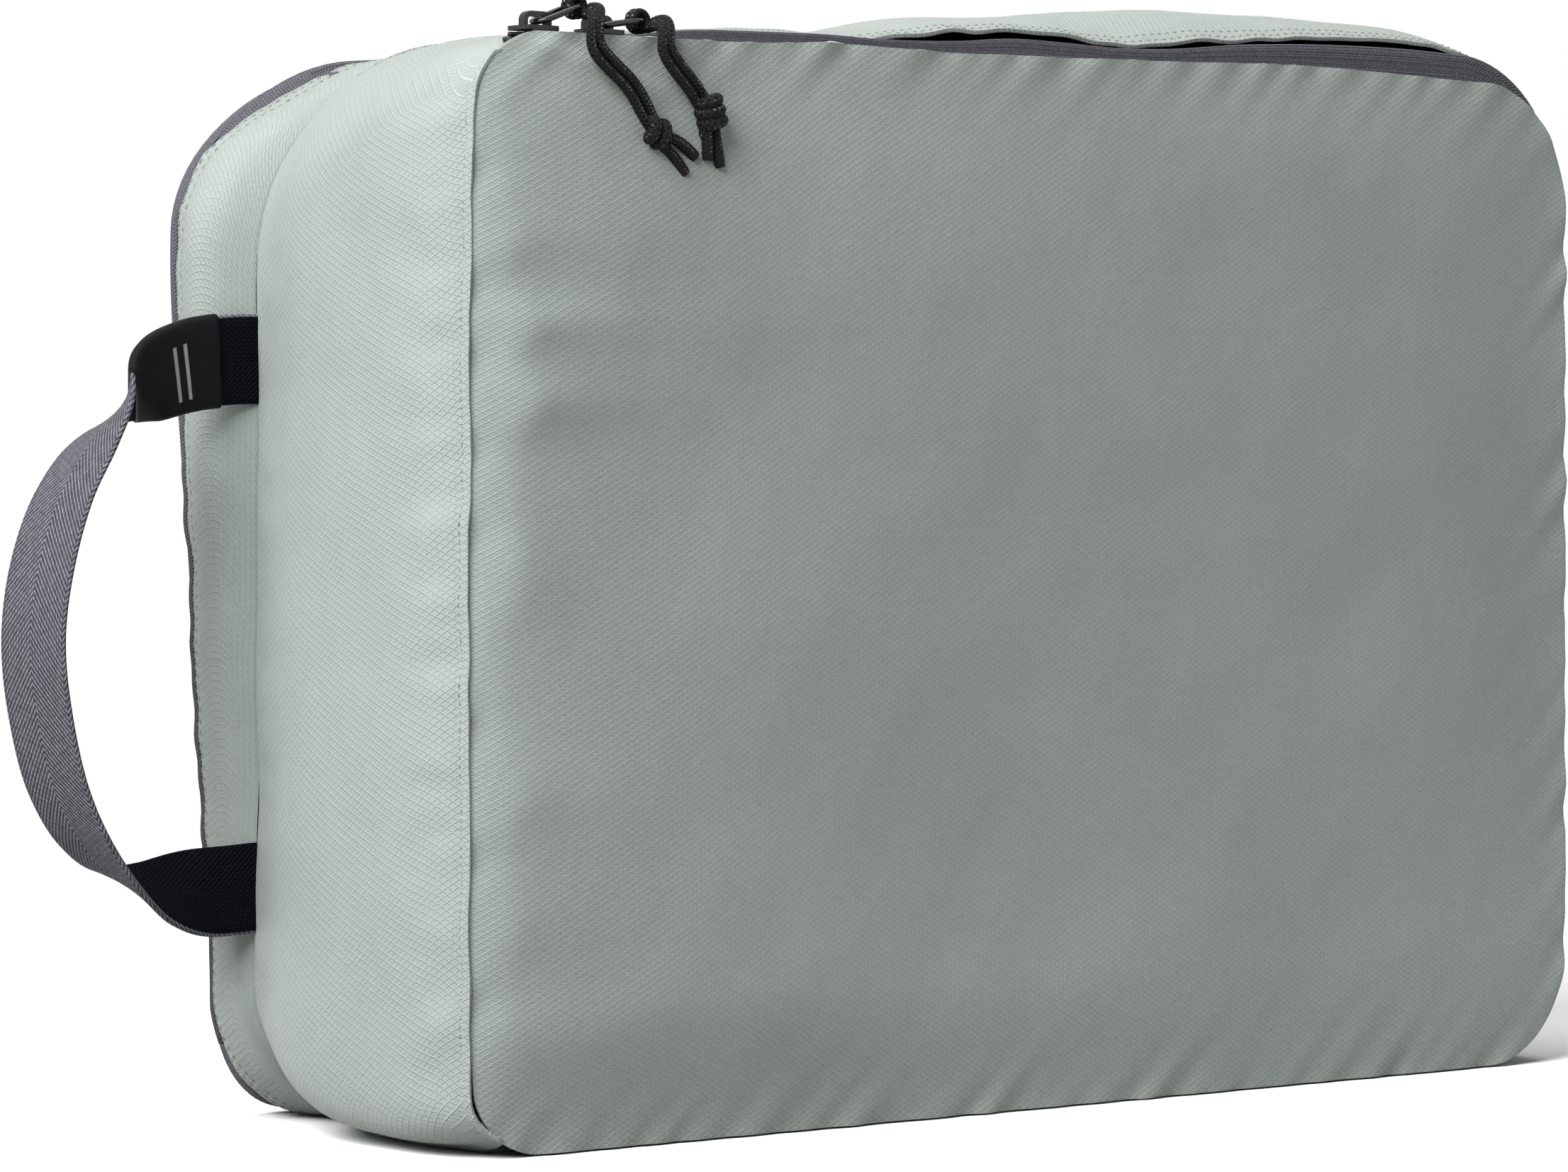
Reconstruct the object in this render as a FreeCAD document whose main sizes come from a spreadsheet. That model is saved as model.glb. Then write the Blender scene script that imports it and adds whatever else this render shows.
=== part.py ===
import FreeCAD, Part
import math
import os

import Sketcher

# Packing cube: a soft two-sided travel organiser that stands on its long edge.
# +X runs along the long side, the front compartment faces -Y and +Z is up. The origin lies on
# the ground, midway between the two vertical seams and midway between the two panels.
# The handle is on the -X side. Fabric is drawn with the thickness of a sewn, folded edge.

SIZES = [
    ("width", 358, "long side, between the two vertical seams"),
    ("rim_height", 254, "height of the zip rims"),
    ("depth", 114, "between the backs of the two panels"),
    ("front_depth", 81, "front panel to the middle seam"),
    ("fabric", 1.2, "a folded fabric edge"),
    ("gap", 0.3, "clearance between sewn or sliding pieces"),
    ("seam_gap", 0.35, "half of the slit in the middle seam"),
    ("divider_cloth", 0.8, "divider fabric"),
    ("rim_setback", 10, "panel to the gusset's rim along the zips"),
    ("front_zip_start", 8, "front hinge seam to the first tooth of its zip"),
    ("rear_zip_start", 20, "rear hinge seam to the first tooth of its zip"),
    ("front_hinge_corner", 8, "corner radius at the front hinge seam"),
    ("front_zip_corner", 30, "corner radius along the front zip"),
    ("rear_hinge_corner", 14, "corner radius at the rear hinge seam"),
    ("rear_zip_corner", 44, "corner radius along the rear zip"),
    ("middle_corner", 36, "corner radius of the middle seam"),
    ("middle_rise", 4, "middle seam above the zip rims"),
    ("rim_rise", 3.2, "top rim of a gusset above its panel's top edge"),
    ("zip_lift", 1.8, "top stretch of a zip above the rest of its rim"),
    ("crown", 13, "top of the packed front gusset above the zip rims"),
    ("side_swell", 4, "sides of the packed front gusset beyond the rims"),
    ("rear_crown", 6, "top of the packed rear gusset above the zip rims"),
    ("rear_swell", 1.0, "sides of the packed rear gusset beyond the rims"),
    ("crown_share", 0.5, "crown's place on the front gusset, a share of its depth from the panel"),
    ("rear_crown_share", 0.7, "crown's place on the rear gusset, a share of its depth"),
    ("floor_press", 0.6, "fabric pressed flat where the cube stands"),
    ("tape", 0.7, "zip tape thickness"),
    ("tape_tuck", 5, "tape sewn under the gusset's rim"),
    ("coil_width", 2.0, "one half of the coil, across the zip"),
    ("coil_height", 1.9, "one half of the coil, through the tape"),
    ("post", 0.8, "post of the slider, which parts the coils"),
    ("slider_length", 10.5, "slider body"),
    ("slider_width", 8.4, "slider body"),
    ("slider_nose", 3.2, "corner radius at the slider's nose"),
    ("slider_tail", 1.2, "corner radius at the slider's tail"),
    ("plate", 1.0, "slider plates"),
    ("post_length", 2.8, "post along the slider"),
    ("bridge_length", 8.0, "bridge on the slider"),
    ("bridge_height", 3.4, "bridge above the upper plate"),
    ("bridge_width", 2.0, "bridge across the slider"),
    ("bridge_wall", 1.2, "thickness of the bridge"),
    ("bridge_corner", 2.2, "outer corner radius of the bridge"),
    ("ring_length", 13.5, "wire pull ring"),
    ("ring_width", 7.4, "wire pull ring"),
    ("wire", 1.4, "wire of the pull ring"),
    ("front_first_slider", 19, "hinge seam to the first front slider"),
    ("slider_pitch", 18, "between the two sliders of a zip"),
    ("rear_first_slider", 27, "hinge seam to the first rear slider"),
    ("binding_width", 8, "binding tape, folded"),
    ("binding", 1.0, "binding tape thickness"),
    ("webbing", 21, "handle webbing width"),
    ("webbing_thick", 1.6, "handle webbing thickness"),
    ("label_length", 26, "label sleeve along the webbing"),
    ("label_wrap", 0.5, "label cloth, folded round the webbing"),
    ("cord", 2.4, "pull cord diameter"),
    ("label_start", 11, "middle seam to the label sleeve, along the webbing"),
    ("hitch_width", 3.4, "cord hitch along the ring's end"),
    ("cord_pitch", 2.6, "between the two strands of a pull, side by side"),
    ("cutter_reach", 52, "how far a cutting block goes past the cube"),
]

document = FreeCAD.newDocument("packing_cube")
sheet = document.addObject("Spreadsheet::Sheet", "Sizes")
for row, (alias, value, note) in enumerate(SIZES, start=1):
    sheet.set("A%d" % row, alias)
    sheet.set("B%d" % row, str(value))
    sheet.setAlias("B%d" % row, alias)
    sheet.set("C%d" % row, note)
document.recompute()


class Size:
    """A length that carries its number and the sheet formula that gives it."""

    def __init__(self, value, text):
        self.value = float(value)
        self.text = text

    def __add__(self, other):
        return Size(self.value + number(other), "(%s + %s)" % (self.text, words(other)))

    def __sub__(self, other):
        return Size(self.value - number(other), "(%s - %s)" % (self.text, words(other)))

    def __mul__(self, other):
        return Size(self.value * number(other), "(%s * %s)" % (self.text, words(other)))

    def __truediv__(self, other):
        return Size(self.value / number(other), "(%s / %s)" % (self.text, words(other)))

    def __neg__(self):
        return Size(-self.value, "(-1 * %s)" % self.text)


def number(size):
    return size.value if isinstance(size, Size) else float(size)


def words(size):
    return size.text if isinstance(size, Size) else repr(float(size))


def named(alias):
    return Size(sheet.get(alias), "Sizes." + alias)


width = named("width")
rim_height = named("rim_height")
depth = named("depth")
front_depth = named("front_depth")
fabric = named("fabric")
gap = named("gap")
seam_gap = named("seam_gap")
divider_cloth = named("divider_cloth")
rim_setback = named("rim_setback")
front_zip_start = named("front_zip_start")
rear_zip_start = named("rear_zip_start")
front_hinge_corner = named("front_hinge_corner")
front_zip_corner = named("front_zip_corner")
rear_hinge_corner = named("rear_hinge_corner")
rear_zip_corner = named("rear_zip_corner")
middle_corner = named("middle_corner")
middle_rise = named("middle_rise")
rim_rise = named("rim_rise")
zip_lift = named("zip_lift")
tape = named("tape")
coil_width = named("coil_width")
coil_height = named("coil_height")
post = named("post")
plate = named("plate")
slider_length = named("slider_length")
slider_width = named("slider_width")
wire = named("wire")
ring_length = named("ring_length")
ring_width = named("ring_width")
binding = named("binding")
binding_width = named("binding_width")
webbing = named("webbing")
webbing_thick = named("webbing_thick")
cord = named("cord")

label_length = named("label_length")
hitch_width = named("hitch_width")
nothing = Size(0, "0")

# Places that several pieces share.
side = width / 2
front_face = -(depth / 2)
rear_face = depth / 2
middle = front_face + front_depth
rear_depth = depth - front_depth
zip_inset = fabric + gap
zip_gap = post + gap * 2
zip_centre_setback = rim_setback / 2
tape_middle = rim_height + zip_lift - zip_inset - tape / 2


# ---------------------------------------------------------------- helpers

def bind(thing, place, size):
    """Tie one property of an object to a formula of the sheet."""
    thing.setExpression(place, words(size))


def new_body(label):
    body = document.addObject("PartDesign::Body", label)
    body.Label = label
    return body


def sketch_on(body, plane_role, name, height):
    """A sketch on one of the body's own origin planes, moved along the plane's normal."""
    plane = [item for item in body.Origin.OriginFeatures if item.Role == plane_role][0]
    sketch = body.newObject("Sketcher::SketchObject", name)
    sketch.AttachmentSupport = [(plane, "")]
    sketch.MapMode = "FlatFace"
    bind(sketch, "AttachmentOffset.Base.z", height)
    return sketch


def hold(sketch, kind, geometry, point, size):
    """Dimension a point from the sketch's origin, whichever side of it the point is on."""
    if abs(number(size)) < 1e-9:
        axis = -2 if kind == "DistanceX" else -1
        sketch.addConstraint(Sketcher.Constraint("PointOnObject", geometry, point, axis))
        return
    if number(size) > 0:
        index = sketch.addConstraint(
            Sketcher.Constraint(kind, -1, 1, geometry, point, number(size)))
        sketch.setExpression("Constraints[%d]" % index, words(size))
    else:
        index = sketch.addConstraint(
            Sketcher.Constraint(kind, geometry, point, -1, 1, -number(size)))
        sketch.setExpression("Constraints[%d]" % index, "-1 * " + words(size))


def rounded_rectangle(sketch, left, right, low, high, radii):
    """A closed outline; radii are low left, low right, high right and high left."""
    low_left, low_right, high_right, high_left = radii
    corners = [
        (right, low, low_right, 1, -1, -90),
        (right, high, high_right, 1, 1, 0),
        (left, high, high_left, -1, 1, 90),
        (left, low, low_left, -1, -1, 180),
    ]
    arcs = []
    for x, z, radius, out_x, out_z, start in corners:
        r = number(radius)
        centre = FreeCAD.Vector(number(x) - out_x * r, number(z) - out_z * r, 0)
        circle = Part.Circle(centre, FreeCAD.Vector(0, 0, 1), r)
        arcs.append(Part.ArcOfCircle(circle, math.radians(start), math.radians(start + 90)))
    first = sketch.GeometryCount
    for index, arc in enumerate(arcs):
        before = arcs[index - 1]
        sketch.addGeometry(Part.LineSegment(before.EndPoint, arc.StartPoint), False)
        sketch.addGeometry(arc, False)
    for index in range(8):
        here = first + index
        after = first + (index + 1) % 8
        sketch.addConstraint(Sketcher.Constraint("Tangent", here, 2, after, 1))
    sketch.addConstraint(Sketcher.Constraint("Horizontal", first))
    sketch.addConstraint(Sketcher.Constraint("Vertical", first + 2))
    sketch.addConstraint(Sketcher.Constraint("Horizontal", first + 4))
    sketch.addConstraint(Sketcher.Constraint("Vertical", first + 6))
    for index, corner in enumerate(corners):
        arc = first + 2 * index + 1
        place = sketch.addConstraint(Sketcher.Constraint("Radius", arc, number(corner[2])))
        sketch.setExpression("Constraints[%d]" % place, words(corner[2]))
    hold(sketch, "DistanceY", first, 1, low)
    hold(sketch, "DistanceX", first + 2, 1, right)
    hold(sketch, "DistanceY", first + 4, 1, high)
    hold(sketch, "DistanceX", first + 6, 1, left)


def inset_radii(radii, by):
    return [radius - by for radius in radii]


def pad(body, sketch, name, length, forward=True, both_ways=False):
    feature = body.newObject("PartDesign::Pad", name)
    feature.Profile = (sketch, [""])
    bind(feature, "Length", length)
    feature.Reversed = not forward
    feature.Midplane = both_ways
    return feature


def cut(body, sketch, name, length, forward):
    """A pocket that must take something away; forward is along the sketch's normal."""
    document.recompute()
    before = body.Shape.Volume
    feature = body.newObject("PartDesign::Pocket", name)
    feature.Profile = (sketch, [""])
    bind(feature, "Length", length)
    feature.Reversed = forward
    document.recompute()
    if body.Shape.Volume > before - 0.01:
        raise ValueError("%s takes nothing away" % name)
    return feature


def rectangle_cut(body, name, place, length, forward, left, right, low, high):
    """Cut a block away from a body: a rectangle in X and Z, carried along Y."""
    sketch = sketch_on(body, "XZ_Plane", name + "_outline", -place)
    rounded_rectangle(sketch, left, right, low, high, [gap] * 4)
    return cut(body, sketch, name, length, forward)


# ---------------------------------------------------------------- outlines

def rim_outline(by, hinge_corner, zip_corner, hinge_on_left):
    """The outline of a zip rim, moved inwards; the hinge seam is left or right."""
    hinge = hinge_corner - by
    zip_side = zip_corner - by
    radii = [hinge, zip_side, zip_side, hinge]
    if not hinge_on_left:
        radii = [zip_side, hinge, hinge, zip_side]
    return (-side + by, side - by, by, rim_height - by, radii)


def front_outline(by):
    return rim_outline(by, front_hinge_corner, front_zip_corner, True)


def rear_outline(by):
    return rim_outline(by, rear_hinge_corner, rear_zip_corner, False)


def middle_outline(by):
    radii = inset_radii([middle_corner] * 4, by)
    return (-side + by, side - by, by, rim_height + middle_rise - by, radii)


# ---------------------------------------------------------------- gussets

def station(body, name, y, outline, inner):
    """One section of a gusset, as its outer outline or moved in by the fabric."""
    swell, rise, radii = outline
    low = -named("floor_press")
    left = -side - swell
    right = side + swell
    high = rim_height + rise
    if inner:
        low = fabric
        left = left + fabric
        right = right - fabric
        high = high - fabric
        radii = inset_radii(radii, fabric)
    sketch = sketch_on(body, "XZ_Plane", name, -y)
    rounded_rectangle(sketch, left, right, low, high, radii)
    return sketch


def gusset(label, stations, rim, hinge_on_left):
    """A band of fabric lofted through its stations, open at both ends and flat underneath."""
    body = new_body(label)
    for kind, inner in (("PartDesign::AdditiveLoft", False), ("PartDesign::SubtractiveLoft", True)):
        word = "inner" if inner else "outer"
        sections = [
            station(body, "%s_%s_%d" % (label, word, index), y, outline, inner)
            for index, (y, outline) in enumerate(stations)
        ]
        loft = body.newObject(kind, "%s_%s_loft" % (label, word))
        loft.Profile = (sections[0], [""])
        loft.Sections = [(section, [""]) for section in sections[1:]]
        loft.Ruled = False
    document.recompute()
    beyond = named("cutter_reach")
    if hinge_on_left:
        left = -side + front_zip_start
        right = side + beyond
    else:
        left = -side - beyond
        right = side - rear_zip_start
    high = rim_height + beyond
    rectangle_cut(body, label + "_rim", rim, rim_setback * 2, hinge_on_left,
                  left, right, -beyond, high)
    wide = side + beyond
    rectangle_cut(body, label + "_floor", -depth, depth * 2, False,
                  -wide, wide, -beyond, nothing)


swell = named("side_swell")
crown = named("crown")
hinge_side_corner = (front_hinge_corner + middle_corner) / 2
front_radii = [front_hinge_corner, front_zip_corner, front_zip_corner, front_hinge_corner]
rear_radii = [rear_zip_corner, rear_hinge_corner, rear_hinge_corner, rear_zip_corner]
full_radii = [hinge_side_corner, front_zip_corner, front_zip_corner, hinge_side_corner]
middle_radii = [middle_corner] * 4
rear_zip_half = (rear_zip_corner + middle_corner) / 2
rear_hinge_half = (rear_hinge_corner + middle_corner) / 2
rear_half_radii = [rear_zip_half, rear_hinge_half, rear_hinge_half, rear_zip_half]

gusset("front_gusset", [
    (front_face + gap, (nothing, nothing, front_radii)),
    (front_face + rim_setback, (gap, rim_rise, front_radii)),
    (front_face + front_depth * named("crown_share"), (swell, crown, full_radii)),
    (middle - seam_gap * 2, (nothing, middle_rise, middle_radii)),
], front_face + rim_setback, True)

gusset("rear_gusset", [
    (middle + seam_gap * 2, (nothing, middle_rise, middle_radii)),
    (rear_face - rear_depth * named("rear_crown_share"),
     (named("rear_swell"), named("rear_crown"), rear_half_radii)),
    (rear_face - rim_setback - zip_inset, (nothing, rim_rise, rear_radii)),
    (rear_face - gap, (nothing, nothing, rear_radii)),
], rear_face - rim_setback, False)


# ---------------------------------------------------------------- panels and divider

def flat_piece(label, start, thickness, outline):
    """A flat sheet in X and Z that grows towards +Y from its start."""
    body = new_body(label)
    sketch = sketch_on(body, "XZ_Plane", label + "_outline", -start)
    left, right, low, high, radii = outline
    rounded_rectangle(sketch, left, right, low, high, radii)
    pad(body, sketch, label + "_sheet", thickness, forward=False)


flat_piece("front_panel", front_face - fabric, fabric, front_outline(gap * 2))
flat_piece("rear_panel", rear_face, fabric, rear_outline(gap * 2))
flat_piece("divider", middle - divider_cloth / 2, divider_cloth, middle_outline(gap))


# ---------------------------------------------------------------- zips

def strip(label, start, length, outline, thickness, hinge_on_left):
    """A band that follows a rim along its three zip sides and stops short of the hinge."""
    body = new_body(label)
    sketch = sketch_on(body, "XZ_Plane", label + "_outline", -start)
    left, right, low, high, radii = outline
    rounded_rectangle(sketch, left, right, low, high, radii)
    rounded_rectangle(sketch, left + thickness, right - thickness, low + thickness,
                      high - thickness, inset_radii(radii, thickness))
    pad(body, sketch, label + "_band", length, forward=False)
    past = rim_setback * 2
    if hinge_on_left:
        ends = (-side - past, -side + front_zip_start + gap)
    else:
        ends = (side - rear_zip_start - gap, side + past)
    rectangle_cut(body, label + "_ends", start - past, length + past * 2, False,
                  ends[0], ends[1], -past, rim_height + past)


def zip_pair(word, face, inwards, outline_at, hinge_on_left):
    """The four sewn pieces of one zip: two tapes, and the half coil stitched under each."""
    centre = face + zip_centre_setback * inwards
    panel_edge = centre - zip_gap / 2 * inwards
    gusset_edge = centre + zip_gap / 2 * inwards
    panel_end = face + gap * inwards
    gusset_end = face + (rim_setback + named("tape_tuck")) * inwards
    pieces = [
        ("%s_zip_tape_panel" % word, panel_end, panel_edge, zip_inset, tape),
        ("%s_zip_tape_gusset" % word, gusset_edge, gusset_end, zip_inset, tape),
        ("%s_zip_coil_panel" % word, panel_edge - coil_width * inwards, panel_edge,
         zip_inset + tape, coil_height),
        ("%s_zip_coil_gusset" % word, gusset_edge, gusset_edge + coil_width * inwards,
         zip_inset + tape, coil_height),
    ]
    for label, one, other, inset, thickness in pieces:
        start, end = (one, other) if one.value < other.value else (other, one)
        left, right, low, high, radii = outline_at(inset)
        strip(label, start, end - start, (left, right, low, high + zip_lift, radii),
              thickness, hinge_on_left)


zip_pair("front", front_face, 1, front_outline, True)
zip_pair("rear", rear_face, -1, rear_outline, False)


# ---------------------------------------------------------------- bindings

def hinge_binding(label, wall, inwards, y, corner):
    """Binding tape folded over the raw edges inside a hinge seam; inwards is 1 towards +X."""
    body = new_body(label)
    sketch = sketch_on(body, "XZ_Plane", label + "_outline", -y)
    near = wall + zip_inset * inwards
    far = near + binding * inwards
    left, right = (near, far) if inwards > 0 else (far, near)
    rounded_rectangle(sketch, left, right, corner + zip_inset, rim_height - corner - zip_inset,
                      [binding / 4] * 4)
    pad(body, sketch, label + "_tape", binding_width, forward=False)


hinge_binding("front_hinge_binding", -side, 1, front_face + gap * 2, front_hinge_corner)
hinge_binding("rear_hinge_binding", side, -1, rear_face - gap * 2 - binding_width,
              rear_hinge_corner)


def middle_binding():
    """Binding tape all round the inside of the middle seam, in the front compartment."""
    body = new_body("middle_binding")
    start = middle - seam_gap * 2 - binding_width
    sketch = sketch_on(body, "XZ_Plane", "middle_binding_outline", -start)
    for by in (zip_inset, zip_inset + binding):
        left, right, low, high, radii = middle_outline(by)
        rounded_rectangle(sketch, left, right, low, high, radii)
    pad(body, sketch, "middle_binding_tape", binding_width, forward=False)


middle_binding()


# ---------------------------------------------------------------- sliders and pull rings

def slider(label, x, y, turned):
    """A zip slider: two plates, the post between the coils, and a bridge for the pull ring."""
    body = new_body(label)
    upper = tape / 2 + gap
    lower = -tape / 2 - coil_height - gap
    half_long = slider_length / 2
    half_wide = slider_width / 2
    nose = named("slider_nose")
    tail = named("slider_tail")
    shape = [tail, nose, nose, tail]
    for word, start in (("upper", upper), ("lower", lower - plate)):
        sketch = sketch_on(body, "XY_Plane", "%s_%s_outline" % (label, word), start)
        rounded_rectangle(sketch, -half_long, half_long, -half_wide, half_wide, shape)
        pad(body, sketch, "%s_%s_plate" % (label, word), plate)
    sketch = sketch_on(body, "XY_Plane", label + "_post_outline", lower)
    end = half_long - named("slider_tail")
    rounded_rectangle(sketch, end - named("post_length"), end, -post / 2, post / 2, [post / 4] * 4)
    pad(body, sketch, label + "_post", upper - lower)
    sketch = sketch_on(body, "XZ_Plane", label + "_bridge_outline", nothing)
    top = upper + plate
    reach = named("bridge_length") / 2
    wall = named("bridge_wall")
    corner = named("bridge_corner")
    foot = plate / 4
    rounded_rectangle(sketch, -reach, reach, top - plate / 2, top + named("bridge_height"),
                      [foot, foot, corner, corner])
    rounded_rectangle(sketch, -reach + wall, reach - wall, top,
                      top + named("bridge_height") - wall,
                      [foot, foot, corner - wall, corner - wall])
    pad(body, sketch, label + "_bridge", named("bridge_width"), both_ways=True)
    body.Placement = FreeCAD.Placement(FreeCAD.Vector(), FreeCAD.Vector(0, 0, 1), 180 if turned else 0)
    bind(body, "Placement.Base.x", x)
    bind(body, "Placement.Base.y", y)
    bind(body, "Placement.Base.z", tape_middle)


def pull_ring(label, x, y, tilt, turned):
    """A wire ring through the slider's bridge; it lies along the zip, tilted up by tilt."""
    bend = (ring_width - wire) / 2
    straight = ring_length - ring_width
    parts = []
    for word, along, angle in (("near", nothing, 90), ("far", straight, -90)):
        half = document.addObject("Part::Torus", "%s_%s_bend" % (label, word))
        bind(half, "Radius1", bend)
        bind(half, "Radius2", wire / 2)
        half.Angle3 = 180
        turn = FreeCAD.Rotation(FreeCAD.Vector(0, 0, 1), angle)
        half.Placement = FreeCAD.Placement(FreeCAD.Vector(), turn)
        bind(half, "Placement.Base.x", bend + along)
        parts.append(half)
    for word, across in (("left", bend), ("right", -bend)):
        run = document.addObject("Part::Cylinder", "%s_%s_run" % (label, word))
        bind(run, "Radius", wire / 2)
        bind(run, "Height", straight)
        turn = FreeCAD.Rotation(FreeCAD.Vector(0, 1, 0), 90)
        run.Placement = FreeCAD.Placement(FreeCAD.Vector(), turn)
        bind(run, "Placement.Base.x", bend)
        bind(run, "Placement.Base.y", across)
        parts.append(run)
    ring = document.addObject("Part::MultiFuse", label)
    ring.Label = label
    ring.Shapes = parts
    up = FreeCAD.Rotation(FreeCAD.Vector(0, -1, 0), tilt)
    around = FreeCAD.Rotation(FreeCAD.Vector(0, 0, 1), 180 if turned else 0)
    ring.Placement = FreeCAD.Placement(FreeCAD.Vector(), around.multiply(up))
    bind(ring, "Placement.Base.x", x)
    bind(ring, "Placement.Base.y", y)
    bind(ring, "Placement.Base.z", ring_height)


ring_height = tape_middle + tape / 2 + gap + plate + gap + wire / 2
front_zip_line = front_face + zip_centre_setback
rear_zip_line = rear_face - zip_centre_setback
front_slider_x = [-side + named("front_first_slider"),
                  -side + named("front_first_slider") + named("slider_pitch")]
rear_slider_x = [side - named("rear_first_slider"),
                 side - named("rear_first_slider") - named("slider_pitch")]
FRONT_TILTS = [20.0, 8.0]
REAR_TILTS = [6.0, 6.0]

for place in range(2):
    slider("front_slider_%d" % (place + 1), front_slider_x[place], front_zip_line, place == 1)
    pull_ring("front_ring_%d" % (place + 1), front_slider_x[place], front_zip_line,
              FRONT_TILTS[place], False)
    slider("rear_slider_%d" % (place + 1), rear_slider_x[place], rear_zip_line, place == 0)
    pull_ring("rear_ring_%d" % (place + 1), rear_slider_x[place], rear_zip_line,
              REAR_TILTS[place], place == 1)


# ---------------------------------------------------------------- handle

# Centre line of the webbing: distance out from its two sewn ends, height, and the turn of its
# width from upright (0) to lying along Y (90).
HANDLE_LINE = [
    (0.0, 181.0, 0), (10.0, 180.8, 0), (24.0, 177.0, 0), (38.0, 172.0, 6), (48.5, 162.5, 45),
    (55.5, 149.0, 76), (60.0, 133.0, 90), (61.5, 117.0, 90), (59.5, 99.0, 90),
    (54.5, 83.0, 80), (46.5, 70.0, 48), (35.0, 61.5, 8), (18.0, 57.6, 0), (0.0, 57.5, 0),
]
HANDLE_STEPS = 44
handle_hinge = -side - gap - webbing_thick / 2
LABEL_STEPS = 8


def handle_curve():
    start = handle_hinge.value
    points = [FreeCAD.Vector(start - out, middle.value, height) for out, height, turn in HANDLE_LINE]
    curve = Part.BSplineCurve()
    outwards = FreeCAD.Vector(-1, 0, 0)
    curve.interpolate(Points=points, InitialTangent=outwards, FinalTangent=-outwards)
    return curve, [curve.parameter(point) for point in points]


def section_at(curve, parameters, parameter, half_wide, half_thick):
    """A rectangle across the webbing, turned by the twist at that place of the curve."""
    centre = curve.value(parameter)
    along = curve.tangent(parameter)[0]
    turns = [turn for out, height, turn in HANDLE_LINE]
    index = 0
    while index < len(parameters) - 2 and parameter > parameters[index + 1]:
        index += 1
    share = (parameter - parameters[index]) / (parameters[index + 1] - parameters[index])
    turn = math.radians(turns[index] + share * (turns[index + 1] - turns[index]))
    across_y = FreeCAD.Vector(0, 1, 0)
    upright = along.cross(across_y)
    wide = upright * math.cos(turn) + across_y * math.sin(turn)
    thick = along.cross(wide)
    corners = [centre + wide * (a * half_wide) + thick * (b * half_thick)
               for a, b in ((-1, -1), (1, -1), (1, 1), (-1, 1), (-1, -1))]
    return Part.makePolygon(corners)


def shape_piece(label, shape):
    piece = document.addObject("Part::Feature", label)
    piece.Label = label
    piece.Shape = shape
    return piece


def handle():
    curve, parameters = handle_curve()
    first, last = parameters[0], parameters[-1]
    steps = [first + (last - first) * i / HANDLE_STEPS for i in range(HANDLE_STEPS + 1)]
    sections = [section_at(curve, parameters, step, webbing.value / 2, webbing_thick.value / 2)
                for step in steps]
    strap = Part.makeLoft(sections, True, True)
    # Each end is folded into a round bead where it is sewn in, on which the handle swings.
    beads = []
    for out, height, turn in (HANDLE_LINE[0], HANDLE_LINE[-1]):
        foot = FreeCAD.Vector(handle_hinge.value, middle.value, height - webbing.value / 2)
        beads.append(Part.makeCylinder(webbing_thick.value / 2, webbing.value, foot))
    shape_piece("handle_webbing", strap.fuse(beads))

    # The label is a sleeve of folded cloth, sewn round the webbing near its upper end.
    start = curve.parameterAtDistance(named("label_start").value, first)
    end = curve.parameterAtDistance(label_length.value, start)
    steps = [start + (end - start) * i / LABEL_STEPS for i in range(LABEL_STEPS + 1)]
    room = gap.value
    wrap = named("label_wrap").value
    solids = []
    for extra in (room + wrap, room):
        sections = [section_at(curve, parameters, step, webbing.value / 2 + extra,
                               webbing_thick.value / 2 + extra) for step in steps]
        solids.append(Part.makeLoft(sections, True, True))
    shape_piece("size_label", solids[0].cut(solids[1]))


handle()


# ---------------------------------------------------------------- pull cords

# Each pull is one doubled cord: hitched to its ring, led over the top edge and down the front
# panel, tied in a knot, and cut with two short tails. Points are in millimetres, and begin at
# the hitch; every run is a straight line and every bend a tangent arc.
FIRST_STRANDS = [(-146.4, -53.6, 259.6), (-146.6, -57.6, 259.8), (-149.8, -61.4, 257.0),
                 (-151.4, -62.6, 251.0), (-146.6, -62.4, 247.0), (-139.6, -62.0, 242.4),
                 (-134.5, -62.0, 234.6)]
SECOND_STRANDS = [(-127.8, -53.6, 257.2), (-127.6, -57.4, 258.2), (-129.0, -61.4, 255.8),
                  (-130.6, -62.6, 251.2), (-127.0, -62.4, 247.2), (-122.0, -62.1, 243.0),
                  (-118.6, -62.0, 238.6)]
FIRST_KNOT = (-133.1, -62.7, 231.9)
SECOND_KNOT = (-117.1, -62.7, 236.7)
FIRST_TAILS = [[(-131.9, -62.4, 229.6), (-127.6, -62.1, 226.8), (-124.2, -61.8, 222.9)],
               [(-129.9, -62.6, 231.4), (-125.2, -62.2, 229.8), (-121.2, -61.8, 226.9)]]
SECOND_TAILS = [[(-118.4, -62.4, 234.2), (-117.4, -62.1, 230.2), (-117.6, -61.8, 226.2)],
                [(-115.6, -62.4, 234.2), (-115.0, -62.1, 229.8), (-113.8, -61.8, 224.8)]]
KNOT_RADII = (4.2, 3.4, 4.0)
# The two strands lie side by side across this direction.
STRANDS_ACROSS = (0.8, 0.0, 0.6)
# Share of a shorter run that each of its two arcs may take.
ARC_SHARE = 0.45


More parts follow.
